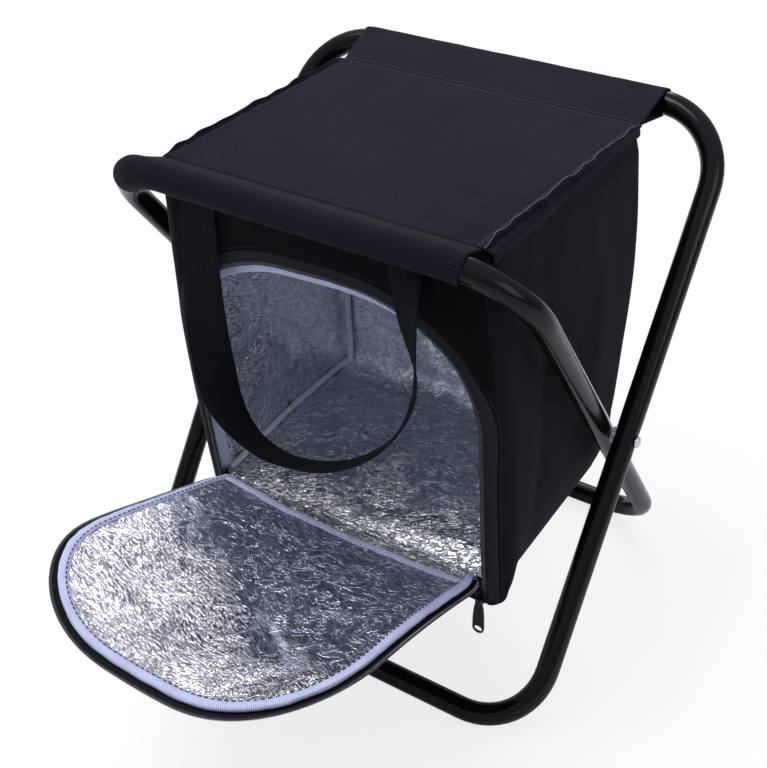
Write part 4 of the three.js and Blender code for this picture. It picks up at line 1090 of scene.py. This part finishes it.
def lining_path_grid(front, columns=95):
    """The foil that runs back along the floor and up the back wall in one curve."""
    floor_z = FLOOR_TOP - 0.0002
    low_back = back_face(BAG_BOTTOM + 0.03) - FOIL_DEPTH
    curve_y, curve_z = low_back - FLOOR_CURVE, floor_z + FLOOR_CURVE
    along = [(y, hinge_drop(y, floor_z)) for y in np.linspace(HINGE.y - 0.002, HINGE.y + 0.011, 16)[:-1]]
    along += [(y, floor_z) for y in np.linspace(HINGE.y + 0.011, curve_y, 75)]
    along += [(curve_y + FLOOR_CURVE * math.sin(a), curve_z - FLOOR_CURVE * math.cos(a))
              for a in np.linspace(0, math.pi / 2, 12)[1:]]
    heights = np.linspace(curve_z + 0.004, BAG_TOP - 0.005, 105)
    along += [(back_face(h) - FOIL_DEPTH, h) for h in heights]
    hinge_half = DOOR_HINGE_HALF - 0.001
    narrow_from = curve_y - 0.03
    rows = []
    for y, z in along:
        half = half_width(z) - WALL_DEPTH - 0.001
        upright = half_width(z) - BACK_CORNER
        if y < front + 0.012:
            share = max(0.0, (y - HINGE.y + 0.003) / (front + 0.012 - HINGE.y + 0.003))
            half = hinge_half + (half - hinge_half) * share ** 2
        if z > curve_z and y > front + 0.02:
            half = upright
        elif y > narrow_from:
            half += (upright - half) * min(1, (y - narrow_from) / (FLOOR_CURVE + 0.03)) ** 2
        x = BAG_MIDDLE + np.linspace(-half, half, columns)
        rows.append(np.column_stack([x, np.full(columns, y), np.full(columns, z)]))
    return np.array(rows)


def make_top_lining():
    half = half_width(BAG_TOP) - WALL_DEPTH - 0.0006
    front = front_face(BAG_TOP) + WALL_DEPTH + 0.0006
    back = back_face(BAG_TOP) - WALL_DEPTH - 0.0006

    def layer(depth, *counts):
        return level_grid(half, front, back, BAG_TOP - depth, -PAD_SAG, *counts)

    pad = slab_piece("top_pad", layer(0.0002), layer(0.0031), WALL_RIM)
    finish_piece(pad, bag_cloth, "foam", "bag_top_foam", fill=0.4)
    grid = crinkled(layer(0.0036, 90, 80), 0.0007, LINING_FOLDS, 51.0, (0, 0, -1))
    lining = lining_piece("top_lining", grid, ["bag_top_foil"], True)
    for piece in (pad, lining):
        hang_between_rails(piece)


def hang_between_rails(piece):
    """Bakes its placement into the mesh of a piece of cloth between the front stitch line and the rear one.
    """
    start, end = (0, FRONT_SEAM, SEAT_HEIGHT), (0, REAR_SEAM, SEAT_HEIGHT)
    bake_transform(piece)
    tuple(start)
    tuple(end)


def make_piping(name, path, steady, node):
    """A round cord in ribbed tape, sewn into an inside seam."""
    path = resampled(settled(np.asarray(path, float)), 0.0012)
    turns = np.arange(len(path))
    ribs = 1 + 0.035 * np.sin(turns * 1.9) + 0.05 * np.sin(turns * 0.13 + 2)
    section = circle(PIPING_RADIUS * 0.96, 14)[None] * ribs[:, None, None]
    piece = closed_tube(name, swept_grid(path, section, steady))
    fold_flat(finish_piece(piece, piping_tape, "white_binding", node, body="bag_rear"))


def resampled(points, step):
    points = np.asarray(points, float)
    lengths = np.concatenate([[0], np.cumsum(np.linalg.norm(np.diff(points, axis=0), axis=1))])
    places = np.linspace(0, lengths[-1], max(2, int(round(lengths[-1] / step)) + 1))
    return np.stack([np.interp(places, lengths, points[:, k]) for k in range(points.shape[1])], 1)


def make_pipings():
    low = FLOOR_TOP + SEATING_GAP + PIPING_RADIUS
    inset = WALL_DEPTH + 2 * SEATING_GAP + PIPING_RADIUS
    aside = BACK_CORNER - (BACK_CORNER - inset) * math.sin(PIPING_TURN)
    ahead = BACK_CORNER - (BACK_CORNER - inset) * math.cos(PIPING_TURN)
    for side, sign in (("left", -1), ("right", 1)):
        def corner(height):
            across = sign * (half_width(height) - aside)
            return [BAG_MIDDLE + across, back_face(height) - ahead, height]

        x = BAG_MIDDLE + sign * (half_width(BAG_BOTTOM) - inset)
        start, end = front_face(low) + FRONT_CORNER, corner(low)[1] - inset
        floor = np.concatenate([np.linspace([x, start, low], [x, end, low], 20), [corner(low)]])
        make_piping(f"floor_piping_{side}", floor, (1, 0, 0), f"floor_seam_piping_{side}")
        heights = np.linspace(low + 0.5 * PIPING_RADIUS, BAG_TOP - 0.0037 - PIPING_RADIUS, 40)
        upright = [corner(height) for height in heights]
        make_piping(f"back_piping_{side}", upright, (0, 1, 0), f"back_seam_piping_{side}")


def make_hinge_band():
    """The tape under the foil where the floor is sewn to the door."""
    half = DOOR_HINGE_HALF - SEATING_GAP
    x, y = np.meshgrid(BAG_MIDDLE + np.linspace(-half, half, 120),
                       np.linspace(HINGE.y + 0.0004, HINGE.y + HINGE_BAND, 12))
    grid = np.stack([x, y, hinge_drop(y, FLOOR_TOP + 0.0018) - 0.0030], 2)
    piece = cloth_piece("hinge_band", grid, 0.0008, offset=-1.0)
    finish_piece(piece, shaded_pale_tape, "white_binding", "hinge_seam_band", body="bag_front")


def make_opening_trim():
    """The pale binding inside the opening, the zip tape outside it and the coil between them."""
    places, ways = arch_stations(HINGE.z)
    over = np.clip(ways[:, 1], 0, 1)
    lean = over * BINDING_HANG + (1 - over) * BINDING_LEAN
    sink = over * BINDING_ARCH_DEPTH + (1 - over) * BINDING_DEPTH
    columns = []
    for share in np.linspace(0, 1, 9):
        x, z = (places + ways * (BINDING_START - lean * share)[:, None]).T
        depth = BINDING_START_DEPTH + share * sink + 0.0005 * math.sin(math.pi * share)
        columns.append(np.column_stack([x, front_surface(x, z) + depth, z]))
    tape_piece("opening_edge_binding", np.stack(columns, 1), shaded_pale_tape, "white_binding", "bag_front",
               "opening_binding", flip=True)
    offsets = (-0.0006, 0.0003, 0.0020, 0.0042, 0.0064, 0.0080, 0.0084)
    depths = (-0.0001, -0.0008, -0.0011, -0.0012, -0.0011, -0.0009, -0.0001)
    band = arch_band(ZIP_FOOT, offsets, depths)
    tape_piece("opening_zip_tape", band, zip_cloth, "zip_tape", "bag_front", "bag_zip_tape")
    places, _ = arch_stations(ZIP_FOOT + SEATING_GAP, -1.5 * COIL_RADIUS - SEATING_GAP)
    x, z = places.T
    path = np.column_stack([x, front_surface(x, z) + 0.00045, z])
    make_coil("opening_zip_coil", path, (0, 1, 0), 2.0, "bag_zip_coil", "bag_front")


def make_coil(name, path, steady, spread, node, body):
    """A zip's coil: a flattened ribbed cord whose turns are 1.5 mm apart."""
    path = resampled(path, COIL_PITCH / COIL_STEPS)
    swell = 0.70 + 0.30 * np.cos(np.arange(len(path)) * 2 * math.pi / COIL_STEPS)
    section = circle(COIL_RADIUS, 10) * np.array([spread, 1.0]) * swell[:, None, None]
    piece = closed_tube(name, swept_grid(path, section, steady))
    finish_piece(piece, lightened_coil_look, "zip_coil", node, body=body)


def make_end_tab():
    """The folded tab of tape at the zip's left foot."""
    low, high = (np.array(corner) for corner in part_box("zip_end_tab"))
    middle = (low + high) / 2
    angles = np.linspace(0, 2 * math.pi, 18, endpoint=False)
    rows = []
    for share in np.linspace(0, 1, 14):
        past = max(share - 0.6, 0) / 0.4
        wide = 0.5 * (high[0] - low[0]) * math.sqrt(max(0.05, 1 - past ** 2))
        x = middle[0] + wide * np.cos(angles)
        y = middle[1] - 0.0011 * np.sin(angles) * (1 + 0.3 * math.sin(share * 9)) - 0.0006 * (share - 0.5)
        rows.append(np.column_stack([x, y, np.full(18, low[2] + (high[2] - low[2]) * share)]))
    tab = closed_tube("zip_foot_tab", np.array(rows))
    finish_piece(tab, zip_cloth, "zip_tape", "zip_end_tab", body="bag_front")


# Door

def make_door():
    face = door_grid(DOOR_TAPE + LINING_SETBACK, 0.0008)
    back = puffed(door_grid(DOOR_TAPE, DOOR_THICKNESS), -0.0006, 0.0008, (14, 14, 14), 61.0)
    padded_cloth(slab_piece("door_body", face, back, 0.0005), bag_cloth, "door", "door_shell", "door_foam")
    film = door_grid(DOOR_TAPE + LINING_SETBACK, 0.0003, 121)
    grid = crinkled(film, 0.0012, (48, 60, 50), 71.0, (0, 0, 1))
    lining = lining_piece("door_lining", grid, ["door_foil"],
                          look=door_foil_look, body="door")
    lining.data.materials.append(foil)
    for polygon in lining.data.polygons:
        polygon.material_index = int(HINGE.y - polygon.center.y < SEAM_BAND_START - 0.001)


def make_door_trim():
    """The door's pale binding, its zip tape and its coil, and the band over the hinge's seam."""
    inner = DOOR_TAPE + BINDING_WIDTH
    margins = (inner, inner - 0.0006, inner - 0.0020, inner - 0.0045,
               DOOR_TAPE + 0.0014, DOOR_TAPE, DOOR_TAPE - 0.0003, DOOR_TAPE)
    band = door_band(margins, (-0.0005, -0.0013, -0.0016, -0.0017, -0.0014, -0.0004, 0.0014, 0.0034))
    band = band + grid_normals(band) * 0.0005 * roughness_field(band, (90, 90, 90), 66.0)[..., None]
    tape_piece("door_edge_binding", band, shaded_pale_tape, "white_binding", "door", "door_binding")
    margins = (-0.0016, -0.0012, 0.0010, DOOR_TAPE, 0.0058, 0.0083)
    band = door_band(margins, (0.0045, 0.0050, 0.0054, 0.0060, 0.0062, 0.0061))
    tape_piece("door_zip_edge", band, zip_cloth, "zip_tape", "door", "door_zip_tape", flip=True)
    path = door_point(*door_edge(-0.0028), 0.0043)
    make_coil("door_zip_teeth", path, (0, 0, 1), 1.3, "door_zip_coil", "door")
    half = DOOR_HINGE_HALF - 0.001
    across = np.linspace(-half, half, 130)
    rows = [seam_band_point(across, share) for share in np.linspace(0, 1, 12)]
    tape_piece("floor_seam_band", rows, shaded_pale_tape, "white_binding", "door", flip=True)


def seam_band_point(across, share):
    """A place on the pale band that covers the seam between the floor's foil and the door's."""
    side = across / DOOR_HINGE_HALF
    start = SEAM_BAND_START - SEAM_BAND_BOW * side ** 2 * np.where(side < 0, 1.0, 0.35)
    ridge = 0.0008 + 0.0014 * math.sin(math.pi * min(max(share, 0.04), 0.96)) ** 0.6
    wander = 0.0005 * np.sin(across * 90) + 0.0003 * np.sin(across * 260 + 1)
    return door_point(across, start + SEAM_BAND_WIDTH * share + wander, -ridge)


# Handle

# Places along the webbing's middle, in metres across, forward of the rivets and above the floor,
# and the way its outer edge points
HANDLE_ROUTE = (
    (-0.0905, -0.1500, 0.4239, -1.00, 0.00, 0.00),
    (-0.0910, -0.1505, 0.4104, -1.00, -0.03, 0.00),
    (-0.0912, -0.1527, 0.3830, -1.00, -0.09, 0.00),
    (-0.0902, -0.1558, 0.3501, -0.96, -0.22, -0.03),
    (-0.0882, -0.1586, 0.3195, -0.93, -0.37, -0.03),
    (-0.0840, -0.1615, 0.2889, -0.80, -0.60, 0.00),
    (-0.0735, -0.1665, 0.2591, -0.35, -0.90, 0.12),
    (-0.0518, -0.1721, 0.2401, -0.03, -0.90, 0.40),
    (-0.0185, -0.1786, 0.2348, -0.18, -0.87, 0.45),
    (0.0248, -0.1858, 0.2476, -0.26, -0.91, 0.29),
    (0.0622, -0.1924, 0.2694, -0.20, -0.96, 0.13),
    (0.0976, -0.1965, 0.3022, -0.02, -1.00, -0.01),
    (0.1150, -0.1950, 0.3300, 0.22, -0.97, 0.01),
    (0.1190, -0.1885, 0.3560, 0.45, -0.85, 0.20),
    (0.1095, -0.1760, 0.3767, 0.60, -0.65, 0.45),
    (0.0960, -0.1610, 0.3939, 0.78, -0.40, 0.45),
    (0.0890, -0.1515, 0.4119, 0.93, -0.15, 0.30),
    (0.0880, -0.1500, 0.4239, 1.00, 0.00, 0.00),
)


def smooth_curve(points, steps):
    """A curve through points, with knots spaced by the square root of their distances."""
    points = np.asarray(points, float)
    ghost = [2 * points[0] - points[1], *points, 2 * points[-1] - points[-2]]
    curve = []
    for i in range(1, len(ghost) - 2):
        p0, p1, p2, p3 = ghost[i - 1:i + 3]
        d0, d1, d2 = (max(1e-4, np.linalg.norm(b - a)) ** 0.5 for a, b in ((p0, p1), (p1, p2), (p2, p3)))
        t1 = ((p1 - p0) / d0 - (p2 - p0) / (d0 + d1) + (p2 - p1) / d1) * d1
        t2 = ((p2 - p1) / d1 - (p3 - p1) / (d1 + d2) + (p3 - p2) / d2) * d1
        for k in range(steps):
            t = k / steps
            a, b = 2 * p1 - 2 * p2 + t1 + t2, -3 * p1 + 3 * p2 - 2 * t1 - t2
            curve.append(((a * t + b) * t + t1) * t + p1)
    curve.append(points[-1])
    return np.array(curve)


def make_handle():
    stations = np.array(HANDLE_ROUTE)
    places = stations[:, :3] + np.array([0, SHIFT, 0])
    curve = smooth_curve(places, 12)
    shares, here = (np.linspace(0, 1, len(rows)) for rows in (stations, curve))
    ways = []
    for column in stations[:, 3:].T:
        way = np.interp(here, shares, column)
        ways.append(np.convolve(np.pad(way, 8, mode="edge"), np.ones(17) / 17, mode="valid"))
    ways = np.stack(ways, 1)
    along = unit(np.gradient(curve, axis=0))
    wide = unit(ways - (ways * along).sum(1)[:, None] * along)
    flat = np.cross(along, wide)
    edges = np.linspace(-0.5, 0.5, 11)
    middle = curve[:, None] + wide[:, None] * WEBBING_WIDTH * edges[:, None]
    half = WEBBING_THICKNESS / 2 * np.where(np.abs(edges) > 0.49, 0.55, 1.0)
    raised = flat[:, None] * half[:, None]
    handle = slab_piece("carrying_handle", middle + raised, middle - raised)
    finish_piece(handle, webbing_look, "webbing", "handle_webbing")
    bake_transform(handle)


# Seat

def rail_centre(x, half, lean):
    """The tube's axis at a place across a top rail, and its direction there."""
    beyond = np.clip(np.abs(x) - (half - BEND_RADIUS), 0, None)
    angle = np.arcsin(np.clip(beyond / BEND_RADIUS, 0, 1)) * np.sign(x)
    height = LEG_ABOVE - BEND_RADIUS + BEND_RADIUS * np.cos(angle)
    centre = np.stack([x, SHIFT - height * math.sin(lean), RIVETS.z + height * math.cos(lean)], -1)
    down = np.sin(angle)
    tangent = np.stack([np.cos(angle), down * math.sin(lean), -down * math.cos(lean)], -1)
    return centre, tangent


def sleeve_ring(seam, centre, back, up, hug):
    """A section of a sleeve, from its stitch line round the rail and back. hug draws it onto the rail."""
    local = seam - centre
    reach = np.array([local @ back, local @ up])
    distance = np.linalg.norm(reach)
    radius = SLEEVE_RADIUS - CLOTH / 2 + 0.0012 * hug
    distance = distance + (radius * 1.002 - distance) * hug
    base = math.atan2(reach[1], reach[0])
    opening = math.acos(min(1.0, radius / distance))
    angles = base + opening + np.linspace(0, 2 * math.pi - 2 * opening, 41)
    ring = centre + radius * (np.cos(angles)[:, None] * back + np.sin(angles)[:, None] * up)
    drawn = centre + distance * (math.cos(base) * back + math.sin(base) * up)
    tip = seam * (1 - hug) + drawn * hug
    return np.concatenate([np.linspace(tip, ring[0], 17)[:-1], ring, np.linspace(ring[-1], tip, 17)[1:]])


def sleeve_grid(rail_ends, seam_ends, seam_y, half, lean, gather, ripple, seed, columns=150):
    """Cloth from a stitch line, round a top rail, and back to the stitch line from below."""
    share = np.linspace(0, 1, columns)
    rail_x, seam_x = (ends[0] + (ends[1] - ends[0]) * share for ends in (rail_ends, seam_ends))
    centre, tangent = rail_centre(rail_x, half, lean)
    toward = 1.0 if seam_y > centre[columns // 2, 1] else -1.0
    back = unit(np.array([0.0, toward, 0.0]) - tangent * tangent[:, 1:2] * toward)
    up = np.cross(tangent, back) * toward
    hugs = np.array([gather(s) for s in share])
    seams = [np.array([x, seam_y, SEAT_HEIGHT]) for x in seam_x]
    grid = np.stack([sleeve_ring(*parts) for parts in zip(seams, centre, back, up, hugs)], 1)
    fade = np.sin(np.linspace(0, math.pi, grid.shape[0])) ** 0.5
    waves = roughness_field(grid, (30, 12, 12), seed) * 0.6
    waves += roughness_field(grid, (75, 20, 20), seed + 5) * 0.4
    normals = grid_normals(grid)
    outwards = np.sign(((grid - centre[None]) * normals).sum(2).mean()) or 1.0
    amount = ripple * fade[:, None] * (waves + 0.5) * (0.5 + 1.2 * hugs)[None, :]
    return grid + normals * outwards * amount[..., None]


def make_front_sleeve():
    def gather(share):
        x = FRONT_SLEEVE[0] + (FRONT_SLEEVE[1] - FRONT_SLEEVE[0]) * share
        return smooth_step(SEAT_FRONT[0] + 0.004 - x, 0, 0.016)

    seam_ends = (FRONT_SLEEVE[0], SEAT_FRONT[1])
    grid = sleeve_grid(FRONT_SLEEVE, seam_ends, FRONT_SEAM, INNER_HALF_WIDTH, LEAN, gather, 0.0008, 81.0)
    piece = cloth_piece("front_sleeve", grid, CLOTH_SHEET, True)
    finish_piece(piece, sleeve_cloth, "seat_cloth", "seat_front_sleeve", body="inner_frame")


def make_rear_sleeve():
    grid = sleeve_grid(REAR_SLEEVE, SEAT_REAR, REAR_SEAM, OUTER_HALF_WIDTH, -LEAN,
                       lambda share: 0.0, 0.0007, 91.0)
    piece = cloth_piece("rear_sleeve_cloth", grid, CLOTH_SHEET)
    finish_piece(piece, seat_cloth, "seat_cloth", "seat_rear_sleeve", body="rear_sleeve")


def seat_edges(share):
    """The seat's left and right edges at a share of the way from its front to its back."""
    return [SEAT_FRONT[k] + (SEAT_REAR[k] - SEAT_FRONT[k]) * share for k in (0, 1)]


def make_seat_panel(rows=60, columns=70):
    along = np.linspace(0, 1, rows)[:, None]
    across = np.linspace(0, 1, columns)[None, :]
    left, right = seat_edges(along)
    x = left + (right - left) * across
    y = np.broadcast_to(FRONT_SEAM + 0.0002 + (REAR_SEAM - FRONT_SEAM - 0.0004) * along, x.shape)
    sag = -SEAT_SAG * np.sin(math.pi * along) * (0.4 + 0.6 * np.sin(math.pi * across))
    hem = 0.0009 * np.exp(-(((across - 0.012) * 275) / 3.5) ** 2)
    grid = np.stack([x, y, SEAT_HEIGHT + sag + hem], 2)
    waves = roughness_field(grid, (9, 7, 9), 101.0) * edge_fade(rows, columns, 0.1)
    pulls = np.sin(x * 150 + 2 * np.sin(x * 40)) * np.exp(-along * 9)
    pulls += np.sin(x * 130 + 1.5) * np.exp(-(1 - along) * 9)
    grid[..., 2] += 0.0006 * waves + 0.0005 * pulls * edge_fade(rows, columns, 0.03)
    piece = cloth_piece("seat_cloth_panel", grid, CLOTH_SHEET)
    finish_piece(piece, seat_cloth, "seat_cloth", "seat_panel")
    hang_between_rails(piece)


# Stitching

THREAD_RINGS = ((-0.5, 0.25, -0.0002), (-0.28, 0.9, 0.0002), (0.28, 0.9, 0.0002), (0.5, 0.25, -0.0002))
THREAD_SIDES = 6


def stitch_row(name, path, outwards, material, slot, length=0.0024, pitch=0.0034, thick=0.00042):
    """A row of short raised threads along a path, on the side of the cloth that outwards points to."""
    points = resampled(path, pitch)
    along = unit(np.gradient(points, axis=0))
    out = np.array(outwards, float)
    turns = np.arange(THREAD_SIDES) * 2 * math.pi / THREAD_SIDES
    vertices, faces, places = [], [], []
    for i, (point, way) in enumerate(zip(points, along)):
        side = np.cross(way, out)
        skewed = way + side * 0.06 * math.sin(i * 2.3)
        around = side * np.cos(turns)[:, None] + out * 0.7 * np.sin(turns)[:, None]
        rings = [point + skewed * length * share + out * lift + thick * size * around
                 for share, size, lift in THREAD_RINGS]
        tube, sides, texture = grid_parts(np.array(rings), wrap_columns=True, offset=len(vertices))
        first = list(range(len(vertices), len(vertices) + THREAD_SIDES))
        last = [k + (len(rings) - 1) * THREAD_SIDES for k in first]
        faces += sides + [first[::-1], last]
        places += texture + [(0, 0)] * 2 * THREAD_SIDES
        vertices.extend(tube)
    return finish_piece(clean_mesh(name, vertices, faces, places), material, slot)


def seat_line(share_along, share_across):
    """A point on the flat seat by its shares, from front to back and from left to right."""
    left, right = seat_edges(share_along)
    y = FRONT_SEAM + (REAR_SEAM - FRONT_SEAM) * share_along
    return np.array([left + (right - left) * share_across, y, SEAT_HEIGHT + CLOTH / 2])


def make_seat_stitches():
    up = (0, 0, 1)
    for k, inset in enumerate((0.010, 0.985)):
        path = [seat_line(share, inset) for share in np.linspace(0.02, 0.98, 40)]
        hang_between_rails(stitch_row(f"seat_hem_stitches_{k}", path, up, seam_thread, "seat_cloth"))
    for name, y, ends, body in (("front", FRONT_SEAM - 0.0022, SEAT_FRONT, "inner_frame"),
                                ("rear", REAR_SEAM + 0.0022, SEAT_REAR, "rear_sleeve")):
        path = [(x, y, SEAT_HEIGHT + CLOTH / 2) for x in np.linspace(ends[0] + 0.003, ends[1] - 0.003, 60)]
        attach(stitch_row(f"seat_{name}_stitches", path, up, seam_thread, "seat_cloth"), body)


# The ridge's section: how far outwards, its share of the wave, its height, and its share of the ridge's
RIDGE_SECTION = (
    (-0.0045, 0, 0.0002, 0.0),
    (-0.0012, 1, 0.0004, 0.0),
    (0.0, 1, 0.0, 0.55),
    (0.0006, 1, 0.0, 1.0),
    (0.0012, 1, 0.0, 0.95),
    (0.0018, 1, 0.0, 0.45),
    (0.0016, 0, -0.0004, 0.0),
)
# Its cloth down the wall: the share of the way to the wall, how far outwards from there, and how far down
SEAM_SKIRT = ((0.5, 0.0006, 0.0010), (1.0, -0.0004, 0.0022), (1.0, 0.0002, 0.0055), (1.0, 0.0001, 0.0085))


def make_side_seams():
    """Along each side the seat and the wall are sewn together in a narrow ridge that stands up."""
    for side, sign in (("right", 1), ("left", -1)):
        rows = []
        for share in np.linspace(0.004, 0.996, 110):
            edge, y, _ = seat_line(share, 1.0 if side == "right" else 0.0)
            wall = BAG_MIDDLE + sign * (BAG_HALF_TOP + 0.0005)
            wall = wall if abs(wall) > abs(edge) else edge + sign * 0.0006
            wave = 0.0005 * math.sin(share * 61) + 0.0004 * math.sin(share * 23 + 1)
            swell = 1 + 0.25 * math.sin(share * 37) * math.sin(share * 11)
            ridge = SEAM_RIDGE * swell * min(1, share * 14, (1 - share) * 14)
            low = SEAT_HEIGHT + CLOTH * 0.2
            section = [(edge + sign * out + wave * waved, y, low + lift + ridge * part)
                       for out, waved, lift, part in RIDGE_SECTION]
            section += [(edge + (wall - edge) * reach + sign * out, y, SEAT_HEIGHT - drop)
                        for reach, out, drop in SEAM_SKIRT]
            rows.append(section)
        grid = np.array(rows)
        piece = cloth_piece(f"seat_side_seam_{side}", grid, TAPE_SHEET, sign < 0)
        hang_between_rails(finish_piece(piece, seat_cloth, "seat_cloth"))
        if side == "right":
            make_frayed_thread(grid[:, 3])


def make_frayed_thread(crest):
    """The pale loose thread that lies along the right seam's crest."""
    path = resampled(crest, 0.0012)
    steps = np.arange(len(path))
    path[:, 0] += np.sin(steps * 0.7) * 0.0002 + np.sin(steps * 0.19 + 1) * 0.0004
    path[:, 2] += 0.0003 + 0.0002 * np.sin(steps * 0.43)
    piece = closed_tube("frayed_thread", swept_grid(path, circle(0.00028, 6), (1, 0, 0)), flip=False)
    hang_between_rails(finish_piece(piece, pale_thread, "seat_cloth"))


def make_bag_stitches():
    """Topstitching round the opening's tape and along the door's and the hinge's pale tapes."""
    places, ways = arch_stations(ZIP_FOOT)
    x, z = (places + ways * 0.0106).T
    path = np.column_stack([x, front_surface(x, z, -0.0004), z])
    row = stitch_row("opening_stitches", path, (0, -1, 0), dark_thread, "bag_cloth", thick=0.0003)
    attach(row, "bag_front")
    path = door_point(*door_edge(DOOR_TAPE + BINDING_WIDTH - 0.0016), -0.0022)
    across = np.linspace(-DOOR_HINGE_HALF + 0.005, DOOR_HINGE_HALF - 0.005, 80)
    for name, line, length, pitch, thick in (
        ("door_binding_stitches", path, 0.0034, 0.0050, 0.0006),
        ("seam_band_stitches_0", seam_band_point(across, 0.14), 0.0026, 0.0042, 0.0004),
        ("seam_band_stitches_1", seam_band_point(across, 0.86), 0.0026, 0.0042, 0.0004),
    ):
        row = stitch_row(name, line, (0, 0, 1), dark_thread, "white_binding", length, pitch, thick)
        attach(row, "door")


make_front_wall()
make_side_wall("right")
make_side_wall("left")
for make in (
    make_back_and_floor, make_top_lining, make_pipings, make_hinge_band, make_opening_trim, make_end_tab,
    make_door, make_door_trim, make_handle, make_front_sleeve, make_rear_sleeve, make_seat_panel,
    make_side_seams, make_seat_stitches, make_bag_stitches,
):
    make()
